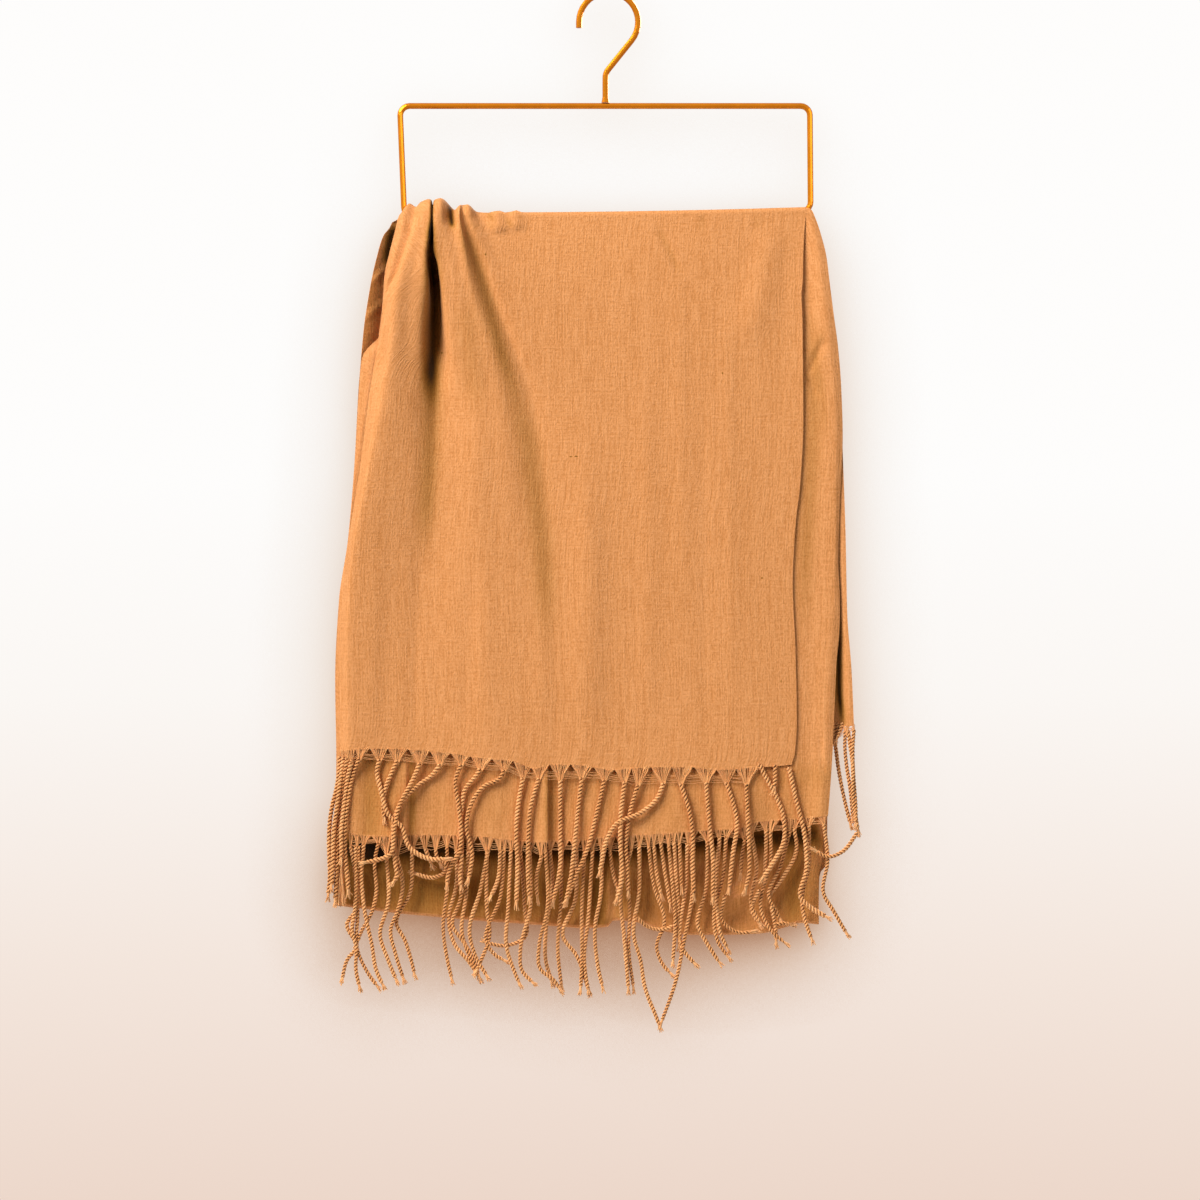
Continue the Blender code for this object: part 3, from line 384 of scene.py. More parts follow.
SECOND_TASSELS = (
    ((-193, 472), (-190, 490), (-188, 505), (-189, 520), (-196, 530), (-189, 549), (-195, 556), (-200, 574)),
    ((-189, 472), (-190, 521), (-192, 535), (-189, 547), (-189, 565), (-186, 579)),
    ((-187, 472), (-188, 524), (-188, 550), (-181, 566), (-172, 579)),
    ((-183, 470), (-185, 494), (-183, 518), (-177, 547), (-174, 565), (-168, 578)),
    ((-172, 469), (-175, 483), (-174, 508), (-177, 521), (-186, 538), (-189, 547)),
    ((-166, 479), (-165, 516), (-171, 538), (-165, 557), (-158, 574)),
    ((-158, 479), (-154, 502), (-158, 521), (-163, 534), (-159, 554), (-153, 573)),
    ((-147, 475), (-149, 508), (-159, 531), (-153, 542), (-149, 554), (-145, 570)),
    ((-137, 474), (-135, 480), (-132, 488)),
    ((-129.5, 475), (-128.5, 481), (-125, 487)),
    ((-124, 483), (-121.3, 487.5), (-122.7, 492), (-127.5, 495), (-132.7, 496.4), (-139.4, 495),
     (-147.4, 492.3)),
    ((-121, 472), (-121, 505), (-124, 533), (-121, 557), (-117, 574)),
    ((-114, 475), (-114, 502), (-120, 527), (-115, 547), (-104, 560), (-99, 568)),
    ((-110, 475), (-111, 512), (-117, 532), (-108, 545), (-99, 563), (-97, 571)),
    ((-105, 475), (-107, 511), (-110, 536), (-104, 556), (-96, 573)),
    ((-90, 475), (-96, 505), (-104, 538), (-99, 556), (-90, 571)),
    ((-91, 475), (-91, 521), (-89, 539), (-96, 559), (-100, 568)),
    ((-81, 475), (-83, 498), (-89, 512)),
    ((-78, 475), (-81, 510), (-91, 546), (-85, 554), (-76, 559)),
    ((-73, 475), (-75, 517), (-76, 550), (-71, 565), (-66, 577)),
    ((-66, 475), (-63, 517), (-63, 541), (-77, 547), (-94, 544)),
    ((-59, 475), (-59, 521), (-66, 550), (-65, 565), (-55, 576)),
    ((-50, 479), (-54, 496), (-53, 514)),
    ((-47, 475), (-46, 521), (-52, 547), (-51, 564), (-41, 572), (-35, 581)),
    ((-44, 475), (-42, 498), (-47, 536), (-47, 559), (-42, 576)),
    ((-35, 475), (-36, 517), (-38, 550), (-35, 580)),
    ((-24, 475), (-25, 513), (-34, 541), (-25, 553), (-14, 583)),
    ((-18, 475), (-20, 520), (-20, 559), (-21, 581)),
    ((-12, 475), (-15, 524), (-18, 562), (-15, 582)),
    ((-5, 474), (-6, 510), (-10, 532), (-8, 562), (-4, 580)),
    ((1, 475), (3, 490), (7, 506)),
    ((10, 475), (9, 514), (12, 543), (15, 581)),
    ((17, 474), (14, 487), (16, 521), (15, 548), (19, 581)),
    ((23, 472), (23, 506), (19, 540), (24, 558), (27, 577), (36, 601), (39, 609)),
    ((30, 472), (34, 502), (42, 530), (36, 548), (42, 563), (48, 569)),
    ((34, 472), (37, 498), (40, 511)),
    ((39, 469), (42, 490), (47, 520)),
    ((45, 471), (48, 502), (50, 528), (48, 561)),
    ((49, 469), (52, 513), (56, 550), (66, 562)),
    ((53, 469), (54, 487), (55, 506)),
    ((59, 470), (58, 502), (54, 528), (53, 550)),
    ((61, 470), (63, 505), (57, 541), (51, 571), (39, 606)),
    ((21, 525), (28, 532), (40, 535), (52, 531)),
    ((74, 467), (73, 505), (67, 532), (75, 547), (84, 561)),
    ((88, 465), (86, 494), (79, 524), (82, 544), (91, 557)),
    ((83, 465), (81, 517), (84, 538), (90, 551)),
    ((87, 509), (85, 528), (97, 537), (111, 536)),
    ((113, 505), (107, 519), (114, 532)),
    ((102, 466), (100, 481), (99, 496)),
    ((107, 462), (111, 490), (107, 517), (115, 532)),
    ((118, 460), (118, 475), (117, 498)),
    ((121, 461), (122, 479), (115, 523), (123, 537), (134, 546)),
    ((122, 517), (125, 532), (126, 547)),
    ((136, 460), (129, 487), (120, 510), (126, 522), (130, 530)),
    ((139, 459), (141, 475), (132, 494), (121, 509)),
    ((125, 531), (132, 530), (138, 532)),
    ((150, 456), (150, 487), (145, 515), (148, 530), (153, 544)),
    ((161, 455), (164, 483), (161, 508), (168, 520), (179, 539)),
)
THIRD_TASSELS = (
    ((169.6, 393), (170.6, 400), (172, 411), (177, 438), (182, 458)),
    ((168.6, 380), (168.8, 387), (169.6, 394)),
    ((171.8, 380), (171, 387), (169.8, 394)),
    ((175.6, 380), (173, 387), (170, 394)),
    ((177.2, 386), (177, 398), (178, 410), (181, 430), (183, 454)),
    ((179.4, 386), (180.6, 396), (182.4, 409), (183, 437), (187, 463)),
    ((183.6, 384.5), (182.6, 397), (182.8, 413), (184.6, 438), (185, 458)),
    ((186, 462), (175, 476), (165, 480), (152, 474)),
)

# A soft fold laid on a panel: its line as (X, drop) points, half width, and height, below zero for a trough
Fold = namedtuple("Fold", "name line width height")

# Every layer behind the front one sinks along the front one's deep gap
GAP_LINE = ((-131, 9), (-130.5, 45), (-129, 110), (-128, 140))
GAP_WIDTH = 13.0

FRONT_FOLDS = (
    Fold("fifth hump", ((-83, -9), (-83, 2), (-81, 14)), 4.5, 3.1),
    Fold("sixth hump", ((-70, -9), (-70, 1), (-68, 12)), 3.6, 2.9),
    Fold("fine crease a", ((36, 8), (45, 26), (54, 46)), 2.2, -0.8),
    Fold("fine crease b", ((59, -2), (62, 4), (63, 10)), 1.4, -0.5),
    Fold("fine crease c", ((72, 0), (70, 7), (68, 13)), 1.4, -0.5),
    Fold("fine crease d", ((106, 1), (106, 6), (105, 12)), 1.6, 0.4),
    Fold("fine crease e", ((5, 15), (3, 20), (2, 24)), 1.2, -0.3),
    Fold("right swell", ((124, 4), (121, 28), (113, 62), (103, 100)), 12.0, 1.7),
    Fold("long swell a", ((-18, 170), (-13, 270), (-14, 400)), 9.0, 1.0),
    Fold("long swell b", ((26, 110), (30, 250), (29, 390)), 8.0, 0.7),
    Fold("long swell c", ((52, 40), (54, 160), (56, 300)), 6.0, 0.4),
    Fold("long swell d", ((70, 120), (72, 240), (73, 400)), 5.5, -0.4),
    Fold("long swell e", ((88, 60), (90, 180), (92, 380)), 5.0, 0.45),
    Fold("long swell i", ((-58, 200), (-50, 300), (-48, 400)), 8.0, 0.8),
    Fold("long swell j", ((-100, 250), (-104, 330), (-106, 400)), 7.0, -0.8),
    Fold("long swell k", ((-140, 230), (-144, 320), (-146, 400)), 6.0, -0.8),
    Fold("long swell l", ((-170, 240), (-176, 320), (-176, 400)), 5.0, 0.6),
)
SECOND_FOLDS = (
    Fold("behind the gap", GAP_LINE, GAP_WIDTH, -17.0),
    Fold("side crease upper", ((162, 92), (155, 107), (148, 120)), 2.0, -1.9),
    Fold("side crease lower", ((148, 120), (152, 128), (157, 137)), 2.0, -1.5),
    Fold("corner wrinkle", ((154, 2), (156, 6), (158, 9)), 1.6, -0.8),
    Fold("foot crease", ((158, 387), (159, 406), (162, 420)), 2.0, -1.0),
    Fold("band ridge a", ((-190, 380), (-190, 425), (-189, 470)), 5.0, 1.6),
    Fold("band hollow a", ((-177, 385), (-177, 430), (-177, 485)), 7.0, -2.2),
    Fold("band swell b", ((-90, 300), (-94, 400), (-96, 465)), 6.0, 0.7),
    Fold("band swell c", ((20, 380), (22, 430), (24, 475)), 7.0, -1.3),
    Fold("band swell e", ((48, 380), (50, 430), (52, 475)), 8.0, 1.2),
    Fold("band swell d", ((90, 380), (92, 430), (94, 475)), 8.0, 1.3),
    Fold("band swell f", ((120, 380), (122, 430), (122, 475)), 7.0, -1.0),
)
THIRD_FOLDS = (
    Fold("behind the gap", GAP_LINE, GAP_WIDTH, -17.0),
)
INNER_FOLDS = (
    Fold("behind the gap", GAP_LINE, GAP_WIDTH, -13.0),
    Fold("notch ridge", ((4, 478), (4, 510), (3, 545)), 4.5, 2.4),
)
REAR_FOLDS = (
    Fold("behind the gap", GAP_LINE, GAP_WIDTH, -6.0),
    Fold("diagonal crease a", ((-178, 50), (-171, 42), (-164, 35)), 1.3, 1.6),
    Fold("diagonal crease b", ((-184, 78), (-176, 70), (-166, 62)), 1.3, 1.6),
)

# Painted shade in the cloth's colour, where cloth lies so deep in a fold that little light comes back from
# it, and under hems
# and beside edges: height is the share of colour it loses. Below zero it is painted light, colour raised
# along lit edges and patches and where single cloth looks lit from behind
FRONT_PAINTED_SHADES = (
    Fold("crack", ((-131.6, -18), (-131.8, 0), (-132.2, 22)), 1.4, 0.9),
    Fold("gap, upper", ((-132, 4), (-132.3, 22), (-131.7, 50)), 2.8, 0.97),
    Fold("gap, lower", ((-131.4, 20), (-130.8, 62), (-131.6, 96), (-133, 145)), 4.8, 0.86),
    Fold("below the gap", ((-131, 100), (-131.5, 140), (-134, 190), (-138, 250)), 7.0, 0.27),
    Fold("left of the gap", ((-135.4, 66), (-135.8, 90), (-136.6, 115), (-137.5, 135)), 3.2, 0.24),
    Fold("pocket", ((-119, -9), (-118, 1), (-116, 11)), 2.3, 0.95),
    Fold("beside the fifth hump", ((-89, -10), (-88.5, 0), (-86, 11)), 1.6, 0.3),
    Fold("beside the sixth hump", ((-75, -10), (-75, 0), (-73, 10)), 1.3, 0.22),
    Fold("diagonal, upper", ((-110, -5), (-106, 15), (-99, 37), (-91, 63), (-81, 100), (-68, 140)),
        5.0, 0.34),
    Fold("diagonal, lower", ((-75, 120), (-60, 170), (-50, 243), (-45, 320)), 8.0, 0.21),
    Fold("third ridge", ((-106, 60), (-104, 100), (-98, 150)), 9.0, 0.10),
    Fold("fine crease a", ((36, 8), (45, 26), (54, 46)), 1.8, 0.13),
    Fold("fine crease b", ((72, -2), (70, 6), (69, 14)), 1.8, 0.10),
    Fold("fine crease c", ((-11, 14), (-12, 24), (-14, 34)), 1.8, 0.07),
    Fold("fine crease d", ((113, 2), (111, 12)), 1.8, 0.09),
)
SECOND_PAINTED_SHADES = (
    Fold("under the front hem", ((-300, 414), (-150, 406), (-50, 418), (60, 419), (300, 419)), 8.0, 0.10),
    Fold("band", ((-300, 440), (0, 442), (300, 440)), 26.0, 0.10),
    Fold("beside the front", ((149, 60), (153, 110), (153.5, 150), (151.5, 190), (148, 240), (146, 310)),
        6.0, 0.20),
    Fold("crumple", ((156, 112), (154, 104), (158, 94), (161, 86)), 1.9, 0.14),
    Fold("crumple, lower", ((154, 108), (158, 122), (161, 140), (162, 165)), 2.2, 0.10),
    Fold("left dip", ((-176, 385), (-177, 435), (-177, 490)), 7.0, 0.28),
    Fold("left of the roll", ((-163, 385), (-163, 435), (-163, 490)), 5.0, 0.12),
    Fold("beside the roll", ((-147.5, 395), (-148, 435), (-148, 475)), 1.6, 0.4),
    Fold("beside the step", ((-43.6, 395), (-43.8, 435), (-44, 480)), 2.4, 0.35),
)
THIRD_PAINTED_SHADES = (
    Fold("deep wedge", ((172, 295), (172.4, 335), (172.8, 356), (173.9, 366), (175.3, 376), (176.4, 387)),
        2.2, 0.95),
)
REAR_PAINTED_SHADES = (
    Fold("light from behind", ((-172, 25), (-177, 60), (-183, 100), (-186, 125)), 10.0, -0.12),
    Fold("corner", ((-158, 2), (-164, 15), (-166, 26), (-167, 42)), 3.2, 0.9),
)
INNER_PAINTED_SHADES = (
    Fold("under the hem", ((-500, 475), (-100, 475), (0, 475), (100, 468), (500, 440)), 9.5, 0.78),
    Fold("dark corner", ((-192, 470), (-182, 478), (-168, 488)), 8.0, 0.4),
    Fold("whole band", ((-500, 508), (0, 508), (500, 500)), 40.0, 0.22),
    Fold("lower left", ((-420, 500), (-130, 506), (60, 512)), 22.0, 0.35),
    Fold("lower right", ((139, 462), (140, 500), (139, 540)), 8.0, 0.3),
    Fold("beside the notch", ((-7, 470), (-7, 505), (-6, 550)), 6.0, 0.3),
    Fold("light edge", ((161.2, 452), (161.4, 462), (161, 470)), 4.0, -0.80),
    Fold("light by the notch", ((1.5, 494), (1.5, 515), (0.5, 532)), 4.0, -0.34),
    Fold("light patch", ((98, 498), (103, 512)), 11.0, -0.34),
    Fold("light edge, lower", ((161, 474), (160.5, 488)), 4.0, -0.14),
)


def cubic(t, start, leave, end, arrive):
    """The place at t on a cubic from start to end, with the slope that it leaves and arrives with."""
    return ((1 + 2 * t) * (1 - t) ** 2 * start + t * (1 - t) ** 2 * leave
            + t * t * (3 - 2 * t) * end - t * t * (1 - t) * arrive)


def stretch_of(places, at):
    """Which stretch between places each of at lies in, how long that is, and the share of it passed."""
    i = np.clip(np.searchsorted(places, at, side="right") - 1, 0, len(places) - 2)
    span = places[i + 1] - places[i]
    return i, span, (at - places[i]) / span


def smooth_between(places, values, at):
    """Values at places, on a cubic through the given ones that never overshoots them."""
    places = np.asarray(places, float)
    values = np.asarray(values, float)
    slopes = np.diff(values) / np.diff(places)
    before, after = slopes[:-1], slopes[1:]
    same_way = before * after > 0
    total = np.where(same_way, before + after, 1.0)
    inner = np.where(same_way, 2 * before * after / total, 0.0)
    tangents = np.concatenate([slopes[:1], inner, slopes[-1:]])
    at = np.clip(at, places[0], places[-1])
    i, span, t = stretch_of(places, at)
    return cubic(t, values[i], span * tangents[i], values[i + 1], span * tangents[i + 1])


def ease(t):
    """0 to 1 with level ends."""
    t = np.clip(t, 0.0, 1.0)
    return t * t * (3 - 2 * t)


def bar_height(x):
    """Z of the lower bar's middle line: it leans a little and sags under the cloth."""
    t = (x - LOWER_LEFT[0]) / (LOWER_RIGHT[0] - LOWER_LEFT[0])
    return LOWER_LEFT[1] * (1 - t) + LOWER_RIGHT[1] * t - 4 * BAR_SAG * t * (1 - t)


def levelled_bar(x, drop):
    """Height that drops are measured from: the bar's own line near it, one level further down."""
    share = ease(drop / LEVEL_DROP)
    return bar_height(x) * (1 - share) + BAR_MIDDLE * share


def line_at(line, drop):
    """(X, stand-off) of one fold line at each drop."""
    drops = [place[0] * MM for place in line.places]
    across = smooth_between(drops, [place[1] * MM for place in line.places], drop)
    out = smooth_between(drops, [place[2] * MM for place in line.places], drop)
    return np.stack([across, out], -1)


# Keeps a stretch of no length from dividing by zero
NO_LENGTH = 1e-6


def folded_section(lines, drop):
    """(X, stand-off) of every mesh column, on a smooth curve through the fold lines, by rows and columns."""
    sections = []
    first = 0
    for i, line in enumerate(lines[:-1]):
        last = i == len(lines) - 2
        count = line.columns + (1 if last else 0)
        here = drop[:, first:first + count]
        start = line_at(line, here)
        end = line_at(lines[i + 1], here)
        before = line_at(lines[i - 1], here) if i > 0 else 2 * start - end
        after = 2 * end - start if last else line_at(lines[i + 2], here)
        reach = [np.linalg.norm(b - a, axis=-1, keepdims=True) + NO_LENGTH
                 for a, b in ((before, start), (start, end), (end, after))]
        leave = (end - before) * reach[1] / (reach[0] + reach[1])
        arrive = (after - start) * reach[1] / (reach[1] + reach[2])
        t = (np.arange(count) / line.columns)[None, :, None]
        sections.append(cubic(t, start, leave, end, arrive))
        first += count
    return np.concatenate(sections, axis=1)


def column_count(lines):
    """Mesh columns of a panel, its two edges included."""
    return sum(line.columns for line in lines) + 1


# How fast a fold comes up from its two ends, and the share of it that is there already
FADE_RATE = 3
FADE_START = 0.2


def add_folds(folds, x, drop):
    """What soft lines add up to at each place, in metres: round across and fading at both ends."""
    total = np.zeros_like(x)
    for fold in folds:
        line = np.array(fold.line, float) * MM
        lengths = np.linalg.norm(np.diff(line, axis=0), axis=1)
        nearest = np.full(x.shape, np.inf)
        along = np.zeros_like(x)
        travelled = 0.0
        for a, b, length in zip(line[:-1], line[1:], lengths):
            run = (b - a) / length
            s = np.clip((x - a[0]) * run[0] + (drop - a[1]) * run[1], 0, length)
            away = np.hypot(x - a[0] - s * run[0], drop - a[1] - s * run[1])
            closer = away < nearest
            along = np.where(closer, travelled + s, along)
            nearest = np.where(closer, away, nearest)
            travelled += length
        passed = along / travelled
        fade = ease(FADE_RATE * passed + FADE_START) * ease(FADE_RATE * (1 - passed) + FADE_START)
        total += fold.height * MM * np.exp(-(nearest / (fold.width * MM)) ** 2) * fade
    return total


def hem_drop(edge, x):
    """Drop of a lower edge at X."""
    return smooth_between([p.across * MM for p in edge], [p.drop * MM for p in edge], x)


def front_points(x, drop, reach):
    """Places of a front layer: below the bar's middle it hangs, above it wraps over to the rear."""
    angle = np.clip(-drop / QUARTER_TURN, 0, 2) * math.pi / 2
    y = -reach * np.cos(angle)
    z = np.where(drop >= 0, levelled_bar(x, drop) - drop, bar_height(x) + reach * np.sin(angle))
    return np.stack([x, y, z], -1)


def line_at_hem(lines, hem):
    """Drop of the hem under every mesh column."""
    deepest = np.full((1, column_count(lines)), max(p.drop for p in hem) * MM)
    return hem_drop(hem, folded_section(lines, deepest)[0, :, 0])


# Mesh rows round the bar and down the front, how much they widen on the way down, and the piece's place
# on the threads' map, so that no two pieces share their slubs
Layer = namedtuple("Layer", "lines folds hollows hem radius turn_rows rows widening map_place")
FRONT_LAYERS = {
    "front_cloth": Layer(FRONT_LINES, FRONT_FOLDS, FRONT_PAINTED_SHADES, FRONT_HEM, FRONT_RADIUS,
        turn_rows=14, rows=200, widening=1.15, map_place=0.0),
    "second_cloth": Layer(SECOND_LINES, SECOND_FOLDS, SECOND_PAINTED_SHADES, SECOND_HEM, SECOND_RADIUS,
        turn_rows=12, rows=190, widening=1.0, map_place=1.0),
    "third_cloth": Layer(THIRD_LINES, THIRD_FOLDS, THIRD_PAINTED_SHADES, THIRD_HEM, THIRD_RADIUS,
        turn_rows=12, rows=110, widening=1.0, map_place=2.0),
}
BACK_MAP_PLACE = 3.0
# The most painted light and the most painted shade that the cloth's colour may take at one place
LEAST_PAINTED_SHADE = -0.5
MOST_PAINTED_SHADE = 0.96


def front_layer(layer):
    """Grid of a layer from the rear of the bar, over it, and down the front to its hem."""
    foot = line_at_hem(layer.lines, layer.hem)
    turn = np.linspace(-2, 0, layer.turn_rows + 1)[:-1, None] * QUARTER_TURN * np.ones(len(foot))
    hang = np.linspace(0, 1, layer.rows + 1)[:, None] ** layer.widening * foot[None, :]
    drop = np.concatenate([turn, hang])
    section = folded_section(layer.lines, drop)
    x = section[..., 0]
    out = section[..., 1] + add_folds(layer.folds, x, drop)
    return front_points(x, drop, layer.radius + out), drop


def shade(hollows, x, drop):
    """Painted shade: the share of its colour that cloth loses at each place, and below zero the painted light
    that it gains.
    """
    return np.clip(add_folds(hollows, x, drop) / MM, LEAST_PAINTED_SHADE, MOST_PAINTED_SHADE)


def placed(name, data):
    """A new object in the scene, at the origin."""
    obj = bpy.data.objects.new(name, data)
    bpy.context.scene.collection.objects.link(obj)
    return obj


def evaluated_mesh(obj):
    """The mesh that an object's modifiers make, with the object itself removed."""
    bpy.context.view_layer.update()
    evaluated = obj.evaluated_get(bpy.context.evaluated_depsgraph_get())
    mesh = bpy.data.meshes.new_from_object(evaluated)
    bpy.data.objects.remove(obj)
    return mesh


def grid_quads(grid):
    """The four corners of every cell in a grid of points."""
    rows, columns = grid.shape[:2]
    index = np.arange(rows * columns).reshape(rows, columns)
    return np.stack([index[:-1, :-1], index[1:, :-1], index[1:, 1:], index[:-1, 1:]], -1).reshape(-1, 4)


def cloth_piece(name, grid, weave, hollow, finish):
    """A thin closed shell on a grid of points, with its threads' own map in metres and its painted shade kept
    as the hollow attribute.
    """
    quads = grid_quads(grid)
    mesh = bpy.data.meshes.new(name)
    mesh.from_pydata(grid.reshape(-1, 3).tolist(), [], quads.tolist())
    layer = mesh.uv_layers.new(name="weave")
    layer.data.foreach_set("uv", weave.reshape(-1, 2)[quads.reshape(-1)].astype(np.float32).ravel())
    # The hollow attribute holds painted shade, and painted light where it is below zero
    depth = mesh.attributes.new("hollow", "FLOAT", "POINT")
    depth.data.foreach_set("value", hollow.astype(np.float32).ravel())
    mesh.materials.append(finish)
    raw = placed(name + "_raw", mesh)
    wall = raw.modifiers.new("Wall", "SOLIDIFY")
    wall.thickness = CLOTH
    wall.offset = 0
    shell = evaluated_mesh(raw)
    shell.name = name
    shell.shade_smooth()
    shell.set_sharp_from_angle(angle=SHARP_ANGLE)
    return placed(name, shell)


def thread_map(grid, drop, across):
    """Threads' map: along each row by the cloth's own length, and down by the drop."""
    steps = np.linalg.norm(np.diff(grid, axis=1), axis=-1)
    u = np.concatenate([np.zeros((grid.shape[0], 1)), np.cumsum(steps, axis=1)], axis=1)
    u -= u[:, -1:]
    return np.stack([u + across, -drop], -1)


def hanging_cloth(name, finish):
    """The front, second or third cloth, with the grid of points that it was made on."""
    layer = FRONT_LAYERS[name]
    grid, drop = front_layer(layer)
    # painted shade and painted light for the cloth's colour
    hollow = shade(layer.hollows, grid[..., 0], drop)
    return cloth_piece(name, grid, thread_map(grid, drop, layer.map_place), hollow, finish), grid


def resample(row, columns):
    """A row of points with another number of columns, spread as the first ones were."""
    at = np.linspace(0, 1, columns)
    old = np.linspace(0, 1, len(row))
    return np.stack([np.interp(at, old, row[:, axis]) for axis in range(3)], -1)


def back_layer(lines, folds, radius, drop):
    """Grid of one rear wall, whose stand-off and folds go backwards."""
    section = folded_section(lines, drop)
    x = section[..., 0]
    y = radius + section[..., 1] - add_folds(folds, x, drop)
    return np.stack([x, y, levelled_bar(x, drop) - drop], -1)


# The back: how far below the bar it leaves the front layers' ends, how far up its two walls share an outline,
# the rim along its lower fold, and its mesh rows
SEAM_BLEND = 0.008
FOLD_BLEND = 0.12
RIM_HEIGHT = 0.0022
RIM_WIDTH = 0.0045
REAR_ROWS = 150
BIGHT_ROWS = 8
INNER_ROWS = 130
ROWS_WIDEN = 1.15


def joined_to_seam(layer, seam, drop):
    """Eases a rear layer into the row of points where the front layer ends behind the bar."""
    level = np.zeros_like(drop)
    hanging = seam[None] - np.stack([level, level, drop], -1)
    share = np.stack([ease(2 * drop / SEAM_BLEND), ease(drop / SEAM_BLEND), ease(drop / SEAM_BLEND)], -1)
    return hanging * (1 - share) + layer * share


def back_cloth(finish, front_grid, second_grid):
    """Rear wall, lower fold and inner rear wall in one sheet, between the two front layers' rear ends."""
    columns = column_count(REAR_LINES)
    foot = line_at_hem(REAR_LINES, LOWER_FOLD) - BIGHT_RADIUS
    down = np.linspace(0, 1, REAR_ROWS + 1)[:, None] ** ROWS_WIDEN * foot[None, :]
    rear = back_layer(REAR_LINES, REAR_FOLDS, REAR_RADIUS, down)
    rear = joined_to_seam(rear, resample(front_grid[0], columns), down)
    up = np.linspace(1, 0, INNER_ROWS + 1)[:, None] ** ROWS_WIDEN * foot[None, :]
    inner = back_layer(INNER_LINES, INNER_FOLDS, SECOND_RADIUS, up)
    gather = ease(1 - (foot[None, :] - up) / FOLD_BLEND)[..., None]
    inner[..., 1] -= RIM_HEIGHT * np.exp(-((foot[None, :] - up) / RIM_WIDTH) ** 2)
    at_fold = inner.copy()
    at_fold[..., 0] = rear[-1, :, 0]
    inner = inner * (1 - gather) + at_fold * gather
    inner = joined_to_seam(inner, resample(second_grid[0], columns), up)
    angle = (np.arange(1, BIGHT_ROWS) / BIGHT_ROWS * math.pi)[:, None]
    middle = (rear[-1] + inner[0]) / 2
    half = (rear[-1, :, 1] - inner[0, :, 1]) / 2
    bight = np.stack([np.broadcast_to(middle[None, :, 0], (BIGHT_ROWS - 1, columns)),
                      middle[None, :, 1] + half[None] * np.cos(angle),
                      middle[None, :, 2] - BIGHT_RADIUS * np.sin(angle)], -1)
    grid = np.concatenate([rear, bight, inner])
    rows = np.linalg.norm(np.diff(grid, axis=0), axis=-1)
    length = np.concatenate([np.zeros((1, columns)), np.cumsum(rows, axis=0)])
    # painted shade and painted light on the rear and inner walls, none round the fold
    hollow = np.concatenate([shade(REAR_PAINTED_SHADES, rear[..., 0], down), np.zeros((BIGHT_ROWS - 1, columns)),
                             shade(INNER_PAINTED_SHADES, inner[..., 0], up)])
    return cloth_piece("back_cloth", grid, thread_map(grid, length, BACK_MAP_PLACE), hollow, finish), grid


# Fringe

Cord = namedtuple("Cord", "ply_radius twist_radius pitch")
FRONT_CORD = Cord(0.00100, 0.00098, 0.0056)
SECOND_CORD = Cord(0.00086, 0.00086, 0.0052)
CORD_STEP = 0.0007
FRINGE_SEED = 7
CORD_SIDES = 5
YARN_SIDES = 3
# How fast painted shade deepens into the groove between two plies
GROOVE_SLOPE = 1.5

# A tassel's way down: the share of its own reach that it keeps off the cloth, and that every other one lies
# further out; then how far each wanders, how soon, and where in its sway it starts
PATH_STEP = 0.004
LEAST_STEPS = 4
FALL_BACK = 0.004
REST_SHARE = 0.9
CROSS_SHARE = 0.8
CROSS_RUN = 0.040
SETTLE_RUN = 0.018
LEVEL_SPREAD = 0.0002
LEVEL_START = 2.3
SWAY = 0.0004
SWAY_RUN = 0.011
SWAY_START = 1.7
THICKNESS = 0.96
THICKNESS_SPREAD = 0.08
THICKNESS_START = 2.7
WAVER = 0.06
WAVER_RUN = 0.009
SMOOTHING = 5

# Yarns: a fan from the hem to each knot, threads across the notches, a small brush at each tip.
# A pair of numbers is the range that a random share is drawn from
YARN_RADIUS = 0.00040
YARN_SPACING = 0.00062
LEAST_YARNS = 5
ON_HEM = (0.002, 0.0185)
SAME_KNOT = 0.0028
FAN_REACH = 0.010
# Fans and wefts get this much of the plies' painted groove shade
FAN_DEPTH = 0.16
FAN_TOP = 0.0012
FAN_FOOT = Vector((0, 0, -0.0035))
FAN_GATHER = 0.7
FAN_STRAY = 0.00022
FAN_BENDS = ((0.28, (0.02, 0.12)), (0.62, (0.02, 0.16)))
FAN_KNOT = 0.05
FAN_THICKNESS = (0.7, 1.05)
WEFT_RADIUS = 0.00022
WEFT_PLACES = (0.45, 0.58, 0.70, 0.82, 0.95)
WEFT_SAG = Vector((0, 0, -0.0012))
WEFT_SAG_SHARE = (-0.3, 1.0)
WEFT_OVERHANG = 0.10
TIP_YARNS = 12
TIP_LENGTH = 0.0075
TIP_OVERLAP = 0.0015
TIP_SPREAD = (0.4, 1.3)
TIP_SHARE = (0.55, 1.0)
TIP_FLARE = (1.2, 2.4)
TIP_STRAY = 0.0003
TIP_START = 0.6
TIP_THICKNESS = (1.0, 0.95, 0.8)

# One front tassel has come untwisted: its top as (X, drop), how far its foot spreads, and the drop of that
Brush = namedtuple("Brush", "top spread foot")
LOOSE_BRUSH = Brush((-199.6, 481), (-204.6, -196.4), 516)
BRUSH_YARNS = 30
BRUSH_THICKNESS = (0.9, 1.0, 0.7)
BRUSH_OUT = 0.001
BRUSH_TOP_STRAY = 0.0006
BRUSH_MIDDLE_STRAY = 0.0005
BRUSH_OUT_STRAY = 0.0007
BRUSH_FOOT_STRAY = 0.0011


